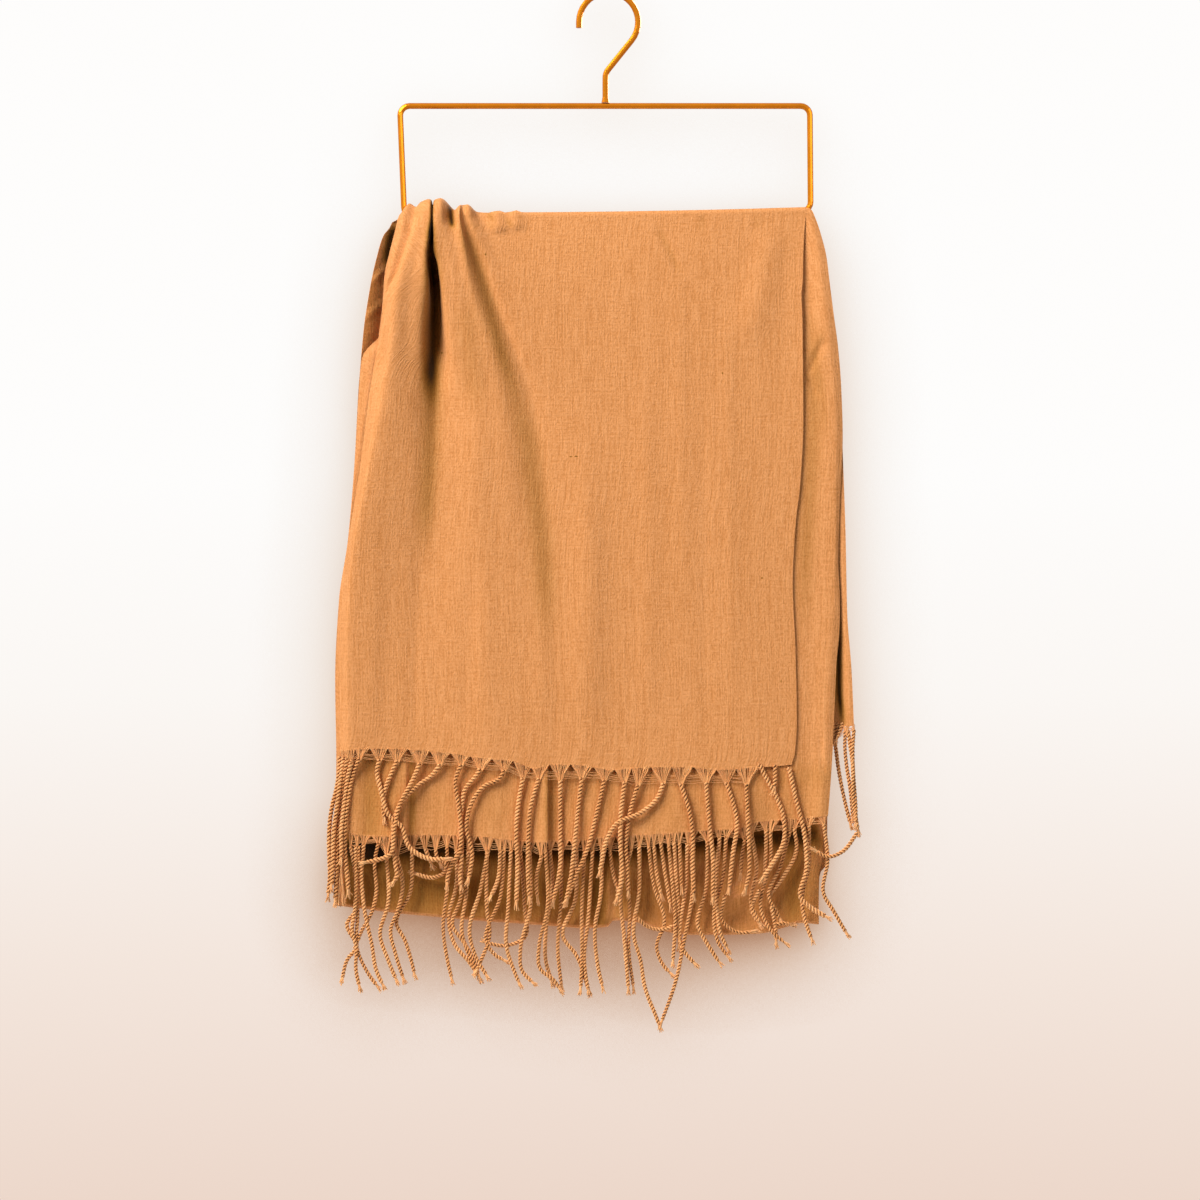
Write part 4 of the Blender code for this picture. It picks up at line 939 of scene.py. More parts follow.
def node_tree(name, sockets):
    """An empty Geometry Nodes tree with the given inputs and one geometry output."""
    tree = bpy.data.node_groups.new(name, "GeometryNodeTree")
    tree.interface.new_socket("Geometry", in_out="INPUT", socket_type="NodeSocketGeometry")
    for label, kind in sockets:
        tree.interface.new_socket(label, in_out="INPUT", socket_type="NodeSocket" + kind)
    tree.interface.new_socket("Geometry", in_out="OUTPUT", socket_type="NodeSocketGeometry")
    return tree


def maths(tree, operation, *values):
    """A number worked out from others, each a socket or a plain value."""
    node = tree.nodes.new("ShaderNodeMath")
    node.operation = operation
    feed(tree, node, values)
    return node.outputs[0]


def vector_maths(tree, operation, *values):
    """The same for vectors. Scaling takes a vector and a number."""
    node = tree.nodes.new("ShaderNodeVectorMath")
    node.operation = operation
    if operation == "SCALE":
        feed(tree, node, values[:1])
        feed_socket(tree, node.inputs["Scale"], values[1])
    else:
        feed(tree, node, values)
    return node.outputs[0]


def feed_socket(tree, socket, value):
    """Gives a socket a plain value, or links another socket to it."""
    if isinstance(value, bpy.types.NodeSocket):
        tree.links.new(value, socket)
    else:
        socket.default_value = value


def feed(tree, node, values):
    """Feeds a node's first sockets, in their order."""
    for socket, value in zip(node.inputs, values):
        feed_socket(tree, socket, value)


def swept_tube(tree, curve, radius, sides):
    """A round tube along a curve, its thickness times the curve's own radius."""
    ring = tree.nodes.new("GeometryNodeCurvePrimitiveCircle")
    feed_socket(tree, ring.inputs["Radius"], radius)
    feed_socket(tree, ring.inputs["Resolution"], sides)
    tube = tree.nodes.new("GeometryNodeCurveToMesh")
    tree.links.new(curve, tube.inputs["Curve"])
    tree.links.new(ring.outputs["Curve"], tube.inputs["Profile Curve"])
    tube.inputs["Fill Caps"].default_value = True
    if "Scale" in tube.inputs:  # where it is missing, the node takes the curve's radius by itself
        own = tree.nodes.new("GeometryNodeInputRadius")
        tree.links.new(own.outputs[0], tube.inputs["Scale"])
    return tube.outputs["Mesh"]


def stored_painted_groove_shade(tree, mesh, depth):
    """The mesh with the painted shade of its grooves kept at each point, for the fringe's finish to read."""
    keep = tree.nodes.new("GeometryNodeStoreNamedAttribute")
    keep.data_type = "FLOAT"
    keep.domain = "POINT"
    keep.inputs["Name"].default_value = "groove"
    tree.links.new(mesh, keep.inputs["Geometry"])
    tree.links.new(depth, keep.inputs["Value"])
    return keep.outputs["Geometry"]


def painted_groove_shade(tree, path, reach):
    """Painted shade from how deep each point lies in the groove between the plies: 0 on their crowns, more
    near the path.
    """
    edges = tree.nodes.new("GeometryNodeCurveToMesh")
    tree.links.new(path, edges.inputs["Curve"])
    near = tree.nodes.new("GeometryNodeProximity")
    near.target_element = "EDGES"
    tree.links.new(edges.outputs["Mesh"], near.inputs[0])
    share = maths(tree, "DIVIDE", near.outputs["Distance"], reach)
    return maths(tree, "MULTIPLY_ADD", share, -GROOVE_SLOPE, GROOVE_SLOPE)


def finish_tree(tree, given, meshes):
    """Joins the meshes, makes them real and gives them their finish."""
    join = tree.nodes.new("GeometryNodeJoinGeometry")
    for mesh in meshes:
        tree.links.new(mesh, join.inputs[0])
    realize = tree.nodes.new("GeometryNodeRealizeInstances")
    paint = tree.nodes.new("GeometryNodeSetMaterial")
    result = tree.nodes.new("NodeGroupOutput")
    tree.links.new(join.outputs[0], realize.inputs[0])
    tree.links.new(realize.outputs[0], paint.inputs["Geometry"])
    tree.links.new(given.outputs["Finish"], paint.inputs["Material"])
    tree.links.new(paint.outputs[0], result.inputs[0])


def twisted_cord_tree():
    """Two plies that wind round each path."""
    tree = node_tree("twisted cord", (("Step", "Float"), ("Pitch", "Float"), ("Twist Radius", "Float"),
                                      ("Ply Radius", "Float"), ("Sides", "Int"), ("Finish", "Material")))
    given = tree.nodes.new("NodeGroupInput")
    spread = tree.nodes.new("GeometryNodeResampleCurve")
    spread.mode = "LENGTH"
    tree.links.new(given.outputs["Geometry"], spread.inputs["Curve"])
    tree.links.new(given.outputs["Step"], spread.inputs["Length"])
    place = tree.nodes.new("GeometryNodeSplineParameter")
    normal = tree.nodes.new("GeometryNodeInputNormal").outputs[0]
    tangent = tree.nodes.new("GeometryNodeInputTangent").outputs[0]
    side = vector_maths(tree, "CROSS_PRODUCT", tangent, normal)
    turns = maths(tree, "DIVIDE", place.outputs["Length"], given.outputs["Pitch"])
    reach = maths(tree, "ADD", given.outputs["Twist Radius"], given.outputs["Ply Radius"])
    plies = []
    for ply in range(2):
        angle = maths(tree, "MULTIPLY_ADD", turns, math.tau, ply * math.pi)
        along_normal = vector_maths(tree, "SCALE", normal, maths(tree, "COSINE", angle))
        along_side = vector_maths(tree, "SCALE", side, maths(tree, "SINE", angle))
        offset = vector_maths(tree, "SCALE", vector_maths(tree, "ADD", along_normal, along_side),
                              given.outputs["Twist Radius"])
        shift = tree.nodes.new("GeometryNodeSetPosition")
        tree.links.new(spread.outputs["Curve"], shift.inputs["Geometry"])
        tree.links.new(offset, shift.inputs["Offset"])
        tube = swept_tube(tree, shift.outputs[0], given.outputs["Ply Radius"], given.outputs["Sides"])
        plies.append(stored_painted_groove_shade(tree, tube, painted_groove_shade(tree, spread.outputs["Curve"], reach)))
    finish_tree(tree, given, plies)
    return tree


def yarn_tree():
    """One fine yarn along each path, with as much painted groove shade as the given depth."""
    tree = node_tree("fine yarn", (("Yarn Radius", "Float"), ("Depth", "Float"), ("Sides", "Int"),
                                   ("Finish", "Material")))
    given = tree.nodes.new("NodeGroupInput")
    tube = swept_tube(tree, given.outputs["Geometry"], given.outputs["Yarn Radius"], given.outputs["Sides"])
    finish_tree(tree, given, [stored_painted_groove_shade(tree, tube, given.outputs["Depth"])])
    return tree


def paths_object(name, paths):
    """A curve object with one line for each path of (point, radius)."""
    curve = bpy.data.curves.new(name, "CURVE")
    curve.dimensions = "3D"
    for path in paths:
        spline = curve.splines.new("POLY")
        spline.points.add(len(path) - 1)
        spline.points.foreach_set("co", [v for point, _ in path for v in (*point, 1.0)])
        spline.points.foreach_set("radius", [radius for _, radius in path])
    return placed(name, curve)


def grown(name, paths, tree, settings):
    """The mesh that a tree makes on the paths. settings are its inputs by name."""
    obj = paths_object(name, paths)
    modifier = obj.modifiers.new("Grow", "NODES")
    modifier.node_group = tree
    for item in tree.interface.items_tree:
        if item.in_out == "INPUT" and item.name in settings:
            modifier[item.identifier] = settings[item.name]
    return evaluated_mesh(obj)


def joined(name, meshes, finish):
    """One object of several meshes."""
    whole = bmesh.new()
    for mesh in meshes:
        whole.from_mesh(mesh)
        bpy.data.meshes.remove(mesh)
    result = bpy.data.meshes.new(name)
    whole.to_mesh(result)
    whole.free()
    result.materials.clear()
    result.materials.append(finish)
    result.shade_smooth()
    return placed(name, result)


def smooth_route(points):
    """Even steps along a smooth curve through the given (X, drop) points."""
    points = np.array(points, float) * MM
    lengths = np.concatenate([[0], np.cumsum(np.linalg.norm(np.diff(points, axis=0), axis=1))])
    count = max(LEAST_STEPS, int(lengths[-1] / PATH_STEP))
    at = np.linspace(0, lengths[-1], count + 1)
    i, span, t = stretch_of(lengths, at)
    fine = []
    for axis in range(2):
        place, slopes = points[:, axis], np.gradient(points[:, axis], lengths)
        fine.append(cubic(t, place[i], span * slopes[i], place[i + 1], span * slopes[i + 1]))
    return at, np.stack(fine, -1)


def surface_of(grid):
    """What a tassel can lie on, for finding its front face."""
    return BVHTree.FromPolygons(grid.reshape(-1, 3).tolist(), grid_quads(grid).tolist())


def neighbours(values):
    """The values moved to each place of a small window, with the end ones repeated."""
    padded = np.pad(values, SMOOTHING // 2, mode="edge")
    return [padded[i:i + len(values)] for i in range(SMOOTHING)]


def laid_depth(x, z, surface, free, clear):
    """Depth of a cord that hangs from its hem, falls back a little and rests on any surface there."""
    depth = []
    for px, pz in zip(x, z):
        place = surface.ray_cast(Vector((px, -1, pz)), Vector((0, 1, 0)))[0]
        last = depth[-1] if depth else free
        depth.append(last if place is None else min(place.y - clear, free + FALL_BACK))
    foremost = np.minimum.reduce(neighbours(np.array(depth)))
    return sum(neighbours(foremost)) / SMOOTHING


def cord_path(k, points, edge, surface, cord):
    """Points and thicknesses of one tassel: from the hem it settles on the cloth behind it."""
    at, route = smooth_route(points)
    x, drop = route[:, 0], route[:, 1]
    from_hem = np.interp(x[0], edge[:, 0], edge[:, 1])
    reach = cord.ply_radius + cord.twist_radius
    level = laid_depth(x, BAR_MIDDLE - drop, surface, from_hem, reach * REST_SHARE)
    level -= reach * CROSS_SHARE * (k % 2) * ease(at / CROSS_RUN)
    level -= LEVEL_SPREAD * (1 + math.sin(k * LEVEL_START))
    settle = ease(at / SETTLE_RUN)
    sway = SWAY * np.sin(at / SWAY_RUN + k * SWAY_START)
    y = from_hem * (1 - settle) + (level + sway) * settle
    size = THICKNESS + THICKNESS_SPREAD * math.sin(k * THICKNESS_START) + WAVER * np.sin(at / WAVER_RUN + k)
    return [(Vector((px, py, BAR_MIDDLE - d)), s) for px, py, d, s in zip(x, y, drop, size)][:-1]


def drawn(draw, span):
    """A random number within a span."""
    return float(draw.uniform(*span))


def stray(draw, size):
    """A small random shift in any direction."""
    return Vector(draw.normal(0, size, 3).tolist())


def frayed_tip(path, cord, draw):
    """A small brush of loose yarns where a tassel ends."""
    end, before = path[-1][0], path[-2][0]
    onward = (end - before).normalized()
    yarns = []
    for j in range(TIP_YARNS):
        turn = math.tau * j / TIP_YARNS
        outward = onward.orthogonal().normalized()
        outward.rotate(Quaternion(onward, turn))
        spread = outward * cord.twist_radius * drawn(draw, TIP_SPREAD)
        reach = TIP_LENGTH * drawn(draw, TIP_SHARE)
        flare = spread * drawn(draw, TIP_FLARE) + stray(draw, TIP_STRAY)
        start = end - onward * TIP_OVERLAP + spread * TIP_START
        middle = end + onward * reach * 0.5 + spread
        yarns.append(list(zip((start, middle, end + onward * reach + flare), TIP_THICKNESS)))
    return yarns


def loose_brush(brush, hem_y, draw):
    """A tassel that has come untwisted: yarns from one place, spreading downwards."""
    across, drop = brush.top
    top = Vector((across * MM, hem_y - BRUSH_OUT, BAR_MIDDLE - drop * MM))
    foot = BAR_MIDDLE - brush.foot * MM
    spread = [x * MM for x in brush.spread]
    yarns = []
    for _ in range(BRUSH_YARNS):
        end_x = drawn(draw, spread)
        end_y = top.y + float(draw.normal(0, BRUSH_OUT_STRAY))
        end = Vector((end_x, end_y, foot + float(draw.normal(0, BRUSH_FOOT_STRAY))))
        start = top + stray(draw, BRUSH_TOP_STRAY)
        middle = start.lerp(end, 0.5) + stray(draw, BRUSH_MIDDLE_STRAY)
        yarns.append(list(zip((start, middle, end), BRUSH_THICKNESS)))
    return yarns


def on_hem(root, edge):
    """True where a tassel starts just under the hem, so that a fan of yarn feeds it."""
    below = np.interp(root.x, edge[:, 0], edge[:, 2]) - root.z
    return ON_HEM[0] < below < ON_HEM[1]


def knots_on_hem(roots, edge):
    """The places under a hem where tassels start, with those that share a knot taken together."""
    knots = []
    for root in sorted((r for r in roots if on_hem(r, edge)), key=lambda r: r.x):
        if knots and root.x - knots[-1][-1].x < SAME_KNOT:
            knots[-1].append(root)
        else:
            knots.append([root])
    return [sum(group, Vector()) / len(group) for group in knots]


def hem_point(edge, x, above):
    """The hem's place at X, or a little above it."""
    return Vector((x, np.interp(x, edge[:, 0], edge[:, 1]), np.interp(x, edge[:, 0], edge[:, 2]) + above))


def fan_of_yarns(knot, left, right, edge, draw):
    """Yarns from a stretch of hem down to one knot, drawn together most towards its two sides."""
    count = max(LEAST_YARNS, round((right - left) / YARN_SPACING))
    middle = (left + right) / 2
    half = (right - left) / 2
    yarns = []
    for j in range(count + 1):
        share = 2 * j / count - 1
        share = math.copysign(abs(share) ** FAN_GATHER, share)
        top = hem_point(edge, middle + half * share, FAN_TOP)
        away = Vector((top.x - knot.x, 0, 0))
        loose = stray(draw, FAN_STRAY)
        bends = [top.lerp(knot, passed) + away * drawn(draw, bow) + loose for passed, bow in FAN_BENDS]
        size = drawn(draw, FAN_THICKNESS)
        yarns.append([(point, size) for point in (top, *bends, knot + away * FAN_KNOT + FAN_FOOT)])
    return yarns


def loose_wefts(left, right, edge, draw):
    """The last few threads across the notch between two fans."""
    top = hem_point(edge, (left.x + right.x) / 2, 0.0)
    threads = []
    for share in WEFT_PLACES:
        a = top.lerp(left, share)
        b = top.lerp(right, share)
        sag = (a + b) / 2 + WEFT_SAG * drawn(draw, WEFT_SAG_SHARE)
        beyond = (b - a) * WEFT_OVERHANG
        threads.append([(a - beyond, 1.0), (sag, 1.0), (b + beyond, 1.0)])
    return threads


def fringe_piece(name, routes, hem_row, surface, cord, draw, trees, finish, brush=None):
    """Twisted tassels on their routes, the fans of yarn above them, loose weft threads and frayed tips."""
    edge = hem_row[np.argsort(hem_row[:, 0])]
    cords = [cord_path(k, points, edge, surface, cord) for k, points in enumerate(routes)]
    tips = [yarn for path in cords for yarn in frayed_tip(path, cord, draw)]
    if brush:
        tips += loose_brush(brush, edge[0, 1], draw)
    yarns = []
    wefts = []
    knots = knots_on_hem([path[0][0] for path in cords], edge)
    for i, knot in enumerate(knots):
        left = max(edge[0, 0], knot.x - FAN_REACH)
        right = min(edge[-1, 0], knot.x + FAN_REACH)
        if i > 0 and knot.x - knots[i - 1].x < 2 * FAN_REACH:
            left = (knots[i - 1].x + knot.x) / 2
        if i < len(knots) - 1 and knots[i + 1].x - knot.x < 2 * FAN_REACH:
            right = (knot.x + knots[i + 1].x) / 2
            wefts += loose_wefts(knot, knots[i + 1], edge, draw)
        yarns += fan_of_yarns(knot, left, right, edge, draw)
    settings = {"Finish": finish, "Sides": CORD_SIDES, "Step": CORD_STEP, "Pitch": cord.pitch,
                "Twist Radius": cord.twist_radius, "Ply Radius": cord.ply_radius}
    meshes = [grown("cords", cords, trees[0], settings)]
    fine_yarns = (("tips", tips, YARN_RADIUS, 0.0), ("yarns", yarns, YARN_RADIUS, FAN_DEPTH),
                  ("wefts", wefts, WEFT_RADIUS, FAN_DEPTH))
    for label, paths, radius, depth in fine_yarns:
        settings = {"Finish": finish, "Sides": YARN_SIDES, "Yarn Radius": radius, "Depth": depth}
        if paths:
            meshes.append(grown(label, paths, trees[1], settings))
    return joined(name, meshes, finish)


# Finishes

TAN = (0.70, 0.294, 0.098, 1.0)
TAN_LIGHT = (0.78, 0.346, 0.128, 1.0)
TAN_DEEP = (0.60, 0.236, 0.068, 1.0)
# The fringe's painted shade in the grooves between plies, its own tone, and a painted highlight on the plies'
# crowns
GROOVE_PAINTED_SHADE = (0.17, 0.052, 0.004, 1.0)
YARN = (0.80, 0.375, 0.135, 1.0)
CROWN_PAINTED_HIGHLIGHT = (0.92, 0.51, 0.225, 1.0)
PAINT = (0.62, 0.198, 0.005, 1.0)
PAINT_DEEP = (0.56, 0.172, 0.003, 1.0)
THREAD_PITCH = 0.00055
THREAD_WANDER = 9.0
# How fast red, green and blue go in painted shade, and how they come up in painted light
PAINTED_SHADE_POWERS = (1.0, 1.04, 2.0)
PAINTED_LIGHT_POWERS = (1.0, 1.15, -0.4)
# Small dark slubs in the weave, each where it lies on the cloth, and the most light that one may take
Slub = namedtuple("Slub", "across drop half_width half_height depth")
SLUB_STRENGTH = 1.6
DARKEST_SLUB = 0.8
SLUBS = (
    Slub(-28.2, 180.8, 1.6, 0.7, 0.55), Slub(-24.2, 180.6, 1.9, 0.7, 0.6), Slub(-91.9, 29.9, 0.9, 1.2, 0.6),
    Slub(85.1, 118.4, 0.9, 1.2, 0.5), Slub(-124.9, 102.6, 0.9, 1.2, 0.5), Slub(114.7, 271.4, 1.1, 1.0, 0.5),
    Slub(128.9, 348.6, 0.8, 1.5, 0.35),
)


def new_finish(name):
    """A material with its node tree and its shader."""
    material = bpy.data.materials.new(name)
    material.use_nodes = True
    tree = material.node_tree
    return material, tree, tree.nodes["Principled BSDF"]


def noise(tree, vector, scale, detail=2.0):
    """Soft random tone, 0 to 1."""
    node = tree.nodes.new("ShaderNodeTexNoise")
    feed_socket(tree, node.inputs["Vector"], vector)
    node.inputs["Scale"].default_value = scale
    node.inputs["Detail"].default_value = detail
    return node.outputs["Fac"]


def object_place(tree):
    """Where a point lies in the object's own space."""
    return tree.nodes.new("ShaderNodeTexCoord").outputs["Object"]


def attribute(tree, name):
    """A number that the mesh keeps at its points."""
    node = tree.nodes.new("ShaderNodeAttribute")
    node.attribute_name = name
    return node.outputs["Fac"]


def parts_of(tree, vector):
    """The X, Y and Z of a vector, by name."""
    node = tree.nodes.new("ShaderNodeSeparateXYZ")
    tree.links.new(vector, node.inputs[0])
    return node.outputs


def vector_of(tree, parts):
    """A vector, or a colour, from three numbers."""
    node = tree.nodes.new("ShaderNodeCombineXYZ")
    feed(tree, node, parts)
    return node.outputs[0]


def weighted(tree, parts, total=0.0):
    """The sum of (value, share) pairs."""
    for value, share in parts:
        total = maths(tree, "MULTIPLY_ADD", value, share, total)
    return total


def set_inputs(node, values):
    """Gives a node's inputs their values, by name."""
    for name, value in values.items():
        node.inputs[name].default_value = value


def stretched(tree, vector, scale):
    """The vector with each axis multiplied by its own number."""
    node = tree.nodes.new("ShaderNodeMapping")
    tree.links.new(vector, node.inputs["Vector"])
    node.inputs["Scale"].default_value = scale
    return node.outputs[0]


def streaky(tree, place, across, down, detail=2.0):
    """Uneven tone on the threads' map, with its own number of spots per metre across and down."""
    return noise(tree, stretched(tree, place, (across, down, 1.0)), scale=1.0, detail=detail)


def ranged(tree, value, start, end):
    """A straight run between two (from, to) pairs, level beyond both."""
    node = tree.nodes.new("ShaderNodeMapRange")
    tree.links.new(value, node.inputs["Value"])
    set_inputs(node, {"From Min": start[0], "To Min": start[1], "From Max": end[0], "To Max": end[1]})
    return node.outputs["Result"]


def ramp(tree, value, stops):
    """The colour that a value has between (place, colour) stops."""
    node = tree.nodes.new("ShaderNodeValToRGB")
    tree.links.new(value, node.inputs["Fac"])
    elements = node.color_ramp.elements
    while len(elements) < len(stops):
        elements.new(0.5)
    for element, (place, colour) in zip(elements, stops):
        element.position = place
        element.color = colour
    return node.outputs["Color"]


def bump(tree, height, strength, distance, under=None):
    """Small relief, in metres at full height, on top of any relief under it."""
    node = tree.nodes.new("ShaderNodeBump")
    node.inputs["Strength"].default_value = strength
    node.inputs["Distance"].default_value = distance
    tree.links.new(height, node.inputs["Height"])
    if under is not None:
        tree.links.new(under, node.inputs["Normal"])
    return node.outputs["Normal"]


def slub_marks(tree):
    """The share of light that small dark slubs take, each at its own place on the cloth."""
    place = object_place(tree)
    total = 0.0
    for slub in SLUBS:
        middle = (slub.across * MM, 0.0, BAR_MIDDLE - slub.drop * MM)
        away = vector_maths(tree, "SUBTRACT", place, middle)
        size = (1 / (slub.half_width * MM), 0.0, 1 / (slub.half_height * MM))
        length = tree.nodes.new("ShaderNodeVectorMath")
        length.operation = "LENGTH"
        feed(tree, length, (vector_maths(tree, "MULTIPLY", away, size),))
        near = maths(tree, "MAXIMUM", maths(tree, "SUBTRACT", 1.0, length.outputs["Value"]), 0.0)
        total = maths(tree, "MULTIPLY_ADD", near, slub.depth * SLUB_STRENGTH, total)
    return maths(tree, "MINIMUM", total, DARKEST_SLUB)


def with_painted_light_and_shade(tree, colour, kept_after_painted_shade_and_slubs, powers):
    """A colour with each of its parts multiplied by its own power of a factor: below one what painted shade
    and slubs leave, above one the painted light added.
    """
    kept = [maths(tree, "POWER", kept_after_painted_shade_and_slubs, power) for power in powers]
    return vector_maths(tree, "MULTIPLY", colour, vector_of(tree, kept))


def woven_finish():
    """Plain weave of fine uneven yarns: threads, slubs down the cloth and weaker ones across, with painted
    shade and painted light laid into its colour.
    """
    material, tree, shader = new_finish("tan_woven_cloth")
    weave = tree.nodes.new("ShaderNodeUVMap")
    weave.uv_map = "weave"
    place = weave.outputs["UV"]
    down = streaky(tree, place, across=900.0, down=60.0)
    long_down = streaky(tree, place, across=330.0, down=6.0)
    across = streaky(tree, place, across=60.0, down=1000.0)
    grain = streaky(tree, place, across=800.0, down=480.0, detail=1.0)
    cloudy = streaky(tree, place, across=30.0, down=12.0, detail=3.0)
    tone = weighted(tree, ((across, 0.18), (down, 0.34), (grain, 0.34), (long_down, 0.16), (cloudy, -0.02)))
    colour = ramp(tree, tone, ((0.412, TAN_DEEP), (0.50, TAN), (0.598, TAN_LIGHT)))
    # painted shade and painted light from the hollow attribute, with the slubs' own dark marks
    kept_after_painted_shade_and_slubs = maths(tree, "MULTIPLY", maths(tree, "SUBTRACT", 1.0, attribute(tree, "hollow")),
                       maths(tree, "SUBTRACT", 1.0, slub_marks(tree)))
    colour = with_painted_light_and_shade(tree, colour, maths(tree, "MINIMUM", kept_after_painted_shade_and_slubs, 1.0), PAINTED_SHADE_POWERS)
    colour = with_painted_light_and_shade(tree, colour, maths(tree, "MAXIMUM", kept_after_painted_shade_and_slubs, 1.0), PAINTED_LIGHT_POWERS)
    tree.links.new(colour, shader.inputs["Base Color"])

    bent = streaky(tree, place, across=420.0, down=60.0, detail=1.0)
    wander = maths(tree, "MULTIPLY", bent, THREAD_WANDER)
    turn = math.pi / THREAD_PITCH
    parts = parts_of(tree, place)
    waves = [maths(tree, "SINE", maths(tree, "MULTIPLY_ADD", parts[axis], turn, wander)) for axis in "XY"]
    height = weighted(tree, ((down, 1.0), (long_down, 0.5), (across, 0.5), (grain, 1.0)))
    slubs = bump(tree, height, strength=0.9, distance=0.00035)
    threads = bump(tree, maths(tree, "MULTIPLY", *waves), strength=0.25, distance=0.0001, under=slubs)
    tree.links.new(threads, shader.inputs["Normal"])
    set_inputs(shader, {"Roughness": 0.85, "Specular IOR Level": 0.2, "Sheen Weight": 0.12,
                        "Sheen Roughness": 0.45, "Sheen Tint": (1.0, 0.80, 0.60, 1.0)})
    return material


def fringe_finish():
    """The same yarn twisted, with a painted highlight on the crowns of the plies and painted shade in the
    grooves between them.
    """
    material, tree, shader = new_finish("tan_fringe_yarn")
    place = object_place(tree)
    patchy = noise(tree, place, scale=260.0, detail=3.0)
    fibres = noise(tree, place, scale=2600.0)
    tone = weighted(tree, ((patchy, 0.2), (fibres, 0.2), (attribute(tree, "groove"), -0.6)), 0.5)
    colour = ramp(tree, tone, ((0.15, GROOVE_PAINTED_SHADE), (0.47, TAN_DEEP), (0.62, YARN), (0.76, CROWN_PAINTED_HIGHLIGHT)))
    tree.links.new(colour, shader.inputs["Base Color"])
    tree.links.new(bump(tree, fibres, strength=0.4, distance=0.0002), shader.inputs["Normal"])
    set_inputs(shader, {"Roughness": 0.8, "Specular IOR Level": 0.25, "Sheen Weight": 0.15,
                        "Sheen Tint": (1.0, 0.84, 0.68, 1.0)})
    return material


def painted_wire_finish():
    """Thick copper-gold paint, glossy, with slight runs."""
    material, tree, shader = new_finish("copper_painted_wire")
    place = object_place(tree)
    patchy = noise(tree, place, scale=90.0, detail=3.0)
    runs = noise(tree, stretched(tree, place, (60.0, 60.0, 25.0)), scale=1.0)
    colour = ramp(tree, patchy, ((0.35, PAINT_DEEP), (0.65, PAINT)))
    tree.links.new(colour, shader.inputs["Base Color"])
    tree.links.new(bump(tree, runs, strength=0.10, distance=0.0003), shader.inputs["Normal"])
    set_inputs(shader, {"Roughness": 0.20, "Metallic": 0.70, "Specular Tint": (0.80, 0.45, 0.15, 1.0),
                        "Coat Weight": 0.12, "Coat Roughness": 0.06})
    return material


# Studio

Light = namedtuple("Light", "name place size power colour")
LIGHTS = (
    Light("key", (-2.30, -2.00, 1.90), 2.0, 236, (1.0, 0.98, 0.95)),
    Light("fill", (1.5, -2.0, 0.5), 1.2, 14, (1.0, 0.98, 0.96)),
    Light("rear", (1.2, 2.2, 0.6), 1.2, 60, (1.0, 0.98, 0.96)),
)
LIGHT_AIM = (0, 0, -0.42)
AMBIENT = (1.0, 0.97, 0.94, 1.0)
AMBIENT_STRENGTH = 0.09
# The backdrop's colours, from low down to above the object's middle
BACKDROP_LOW = (-0.20, 0.0)
BACKDROP_HIGH = (0.20, 1.0)
BACKDROP = (
    (0.0, (0.84, 0.68, 0.59, 1.0)), (0.2, (0.90, 0.79, 0.72, 1.0)),
    (0.42, (0.965, 0.93, 0.90, 1.0)), (0.6, (0.99, 0.98, 0.97, 1.0)),
)
FLOOR_HEIGHT = -1.05
FLOOR_RADIUS = 0.55
FLOOR_SIDES = 96
FLOOR_DEEP = (0.80, 0.78, 0.76, 1.0)
FLOOR_PALE = (0.86, 0.84, 0.82, 1.0)
# The wall, which shows nothing but a painted shadow: turned a little so that it is never seen edge on, how
# near the cloth has to be to paint shadow on it, from which side the painted shadow's light comes, how strong
# the painted shadow is at two heights, and how fast each colour goes in it
WALL_Y = 0.027
WALL_TURN = 0.015
WALL_CORNERS = ((-0.65, -0.93), (0.65, -0.93), (0.65, 0.15), (-0.65, 0.15))
WALL_REACH = 0.08
WALL_SAMPLES = 16
TOWARD_LIGHT = (0.0, -0.866, 0.5)
PAINTED_SHADOW_LOW = (-0.73, 0.94)
PAINTED_SHADOW_HIGH = (-0.60, 0.40)
PAINTED_SHADOW_POWERS = (1.0, 1.7, 2.3)


def softbox(light):
    """A square area light, turned to the object's middle."""
    data = bpy.data.lights.new(light.name, "AREA")
    data.shape = "SQUARE"
    data.size = light.size
    data.energy = light.power
    data.color = light.colour
    obj = placed(light.name, data)
    obj.location = light.place
    obj.rotation_euler = (Vector(LIGHT_AIM) - Vector(light.place)).to_track_quat("-Z", "Y").to_euler()


def surround():
    """Even dim light all round, and a pale backdrop, a little pink lower down, behind the object."""
    world = bpy.data.worlds.new("studio")
    bpy.context.scene.world = world
    world.use_nodes = True
    tree = world.node_tree
    ambient = tree.nodes["Background"]
    set_inputs(ambient, {"Color": AMBIENT, "Strength": AMBIENT_STRENGTH})
    direction = tree.nodes.new("ShaderNodeTexCoord").outputs["Generated"]
    rise = ranged(tree, parts_of(tree, direction)["Z"], BACKDROP_LOW, BACKDROP_HIGH)
    backdrop = tree.nodes.new("ShaderNodeBackground")
    tree.links.new(ramp(tree, rise, BACKDROP), backdrop.inputs["Color"])
    path = tree.nodes.new("ShaderNodeLightPath")
    seen = maths(tree, "MAXIMUM", path.outputs["Is Camera Ray"],
                 maths(tree, "MAXIMUM", path.outputs["Is Glossy Ray"], path.outputs["Is Transmission Ray"]))
    mix = tree.nodes.new("ShaderNodeMixShader")
    feed(tree, mix, (seen, ambient.outputs[0], backdrop.outputs[0]))
    tree.links.new(mix.outputs[0], tree.nodes["World Output"].inputs["Surface"])


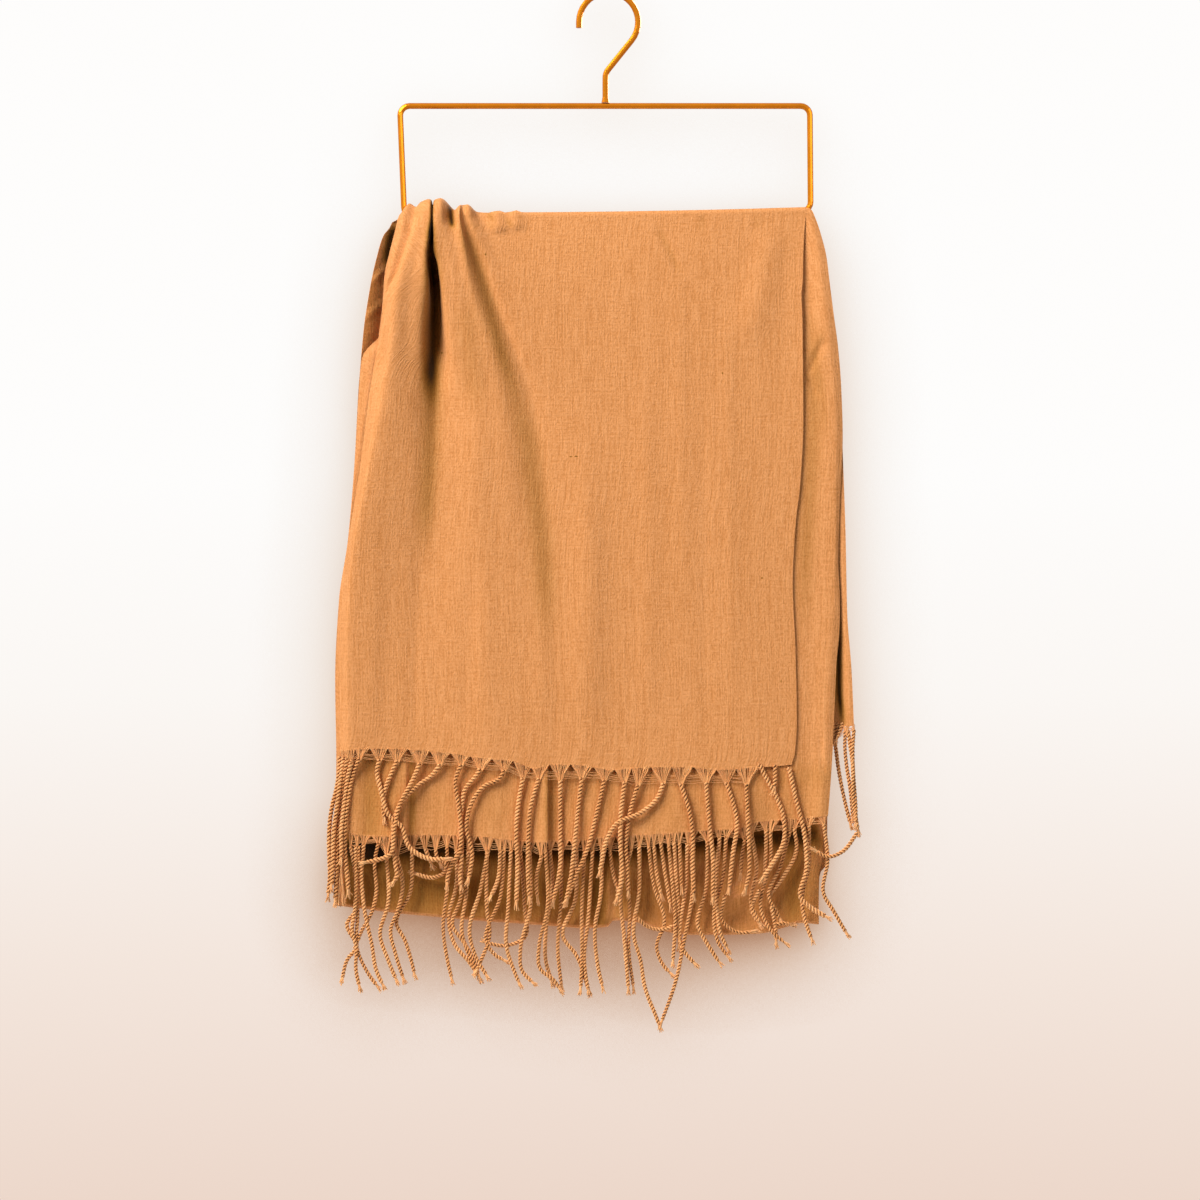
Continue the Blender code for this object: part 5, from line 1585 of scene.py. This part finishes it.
def floor():
    """A round pale floor, well below the object."""
    mesh = bpy.data.meshes.new("floor")
    disc = bmesh.new()
    bmesh.ops.create_circle(disc, cap_ends=True, segments=FLOOR_SIDES, radius=FLOOR_RADIUS)
    bmesh.ops.translate(disc, verts=disc.verts, vec=(0, 0, FLOOR_HEIGHT))
    disc.to_mesh(mesh)
    disc.free()
    material, tree, shader = new_finish("pale_floor")
    grain = noise(tree, object_place(tree), scale=30.0, detail=3.0)
    tree.links.new(ramp(tree, grain, ((0.3, FLOOR_DEEP), (0.7, FLOOR_PALE))), shader.inputs["Base Color"])
    set_inputs(shader, {"Roughness": 0.9})
    mesh.materials.append(material)
    placed("floor", mesh)


def painted_shadow_wall_finish():
    """Clear but for a painted soft shadow of the shawl on the wall behind it, seen from the front."""
    material = bpy.data.materials.new("painted_shadow_wall")
    material.use_nodes = True
    tree = material.node_tree
    tree.nodes.clear()
    # The painted shadow: darker where more of the shawl lies near, towards the light
    near = tree.nodes.new("ShaderNodeAmbientOcclusion")
    near.samples = WALL_SAMPLES
    near.inputs["Distance"].default_value = WALL_REACH
    tree.links.new(vector_of(tree, TOWARD_LIGHT), near.inputs["Normal"])
    strength = ranged(tree, parts_of(tree, object_place(tree))["Z"], PAINTED_SHADOW_LOW, PAINTED_SHADOW_HIGH)
    facing = maths(tree, "SUBTRACT", 1.0, tree.nodes.new("ShaderNodeNewGeometry").outputs["Backfacing"])
    seen = maths(tree, "MULTIPLY", facing, tree.nodes.new("ShaderNodeLightPath").outputs["Is Camera Ray"])
    lost = maths(tree, "MULTIPLY", maths(tree, "SUBTRACT", 1.0, near.outputs["AO"]), strength)
    left = maths(tree, "SUBTRACT", 1.0, maths(tree, "MULTIPLY", lost, seen))
    clear = tree.nodes.new("ShaderNodeBsdfTransparent")
    kept = vector_of(tree, [maths(tree, "POWER", left, power) for power in PAINTED_SHADOW_POWERS])
    tree.links.new(kept, clear.inputs["Color"])
    tree.links.new(clear.outputs[0], tree.nodes.new("ShaderNodeOutputMaterial").inputs["Surface"])
    return material


def wall():
    """An upright sheet close behind the shawl, for its painted shadow alone."""
    mesh = bpy.data.meshes.new("wall")
    mesh.from_pydata([(x, WALL_Y - WALL_TURN * x, z) for x, z in WALL_CORNERS], [], [(0, 1, 2, 3)])
    mesh.materials.append(painted_shadow_wall_finish())
    placed("wall", mesh)


# The camera looks level from EYE, and sees FIELD metres across at the object
EYE = (-0.0064, -2.2, -0.4534)
FIELD = 0.90
SENSOR = 36.0


def camera():
    """A long lens at the height of the object's middle, looking straight at its front."""
    data = bpy.data.cameras.new("camera")
    data.sensor_width = SENSOR
    data.lens = SENSOR * -EYE[1] / FIELD
    obj = placed("camera", data)
    obj.location = EYE
    obj.rotation_euler = (math.radians(90), 0, 0)
    bpy.context.scene.camera = obj


def main():
    """Makes the finishes and pieces, says what each stands for, and sets up the studio round them."""
    camera()
    cloth = woven_finish()
    yarn = fringe_finish()
    wire = painted_wire_finish()
    for node in ("hanger_frame", "hanger_hook"):
        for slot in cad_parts[node].material_slots:
            slot.material = wire

    front, front_grid = hanging_cloth("front_cloth", cloth)
    second, second_grid = hanging_cloth("second_cloth", cloth)
    third, third_grid = hanging_cloth("third_cloth", cloth)
    back, back_grid = back_cloth(cloth, front_grid, second_grid)
    trees = (twisted_cord_tree(), yarn_tree())
    draw = np.random.default_rng(FRINGE_SEED)
    front_fringe = fringe_piece("front_tassels", FRONT_TASSELS, front_grid[-1],
                                surface_of(second_grid), FRONT_CORD, draw, trees, yarn, LOOSE_BRUSH)
    second_fringe = fringe_piece("second_tassels", SECOND_TASSELS, second_grid[-1],
                                 surface_of(back_grid), SECOND_CORD, draw, trees, yarn)
    third_fringe = fringe_piece("third_tassels", THIRD_TASSELS, third_grid[-1],
                                surface_of(third_grid), SECOND_CORD, draw, trees, yarn)

    stands_for = ((front, ("front_panel",)), (second, ("second_panel",)), (third, ("third_panel",)),
                  (back, ("back_outer", "back_inner")))
    for piece, nodes in stands_for:
        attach(piece, "root")
        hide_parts(*nodes)
    for piece, node in ((front_fringe, "fringe_front"), (second_fringe, "fringe_second"),
                        (third_fringe, "fringe_third")):
        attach(piece, "root")
        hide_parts(node)

    for light in LIGHTS:
        softbox(light)
    surround()
    floor()
    wall()
    bpy.context.scene.view_settings.view_transform = "Standard"


main()
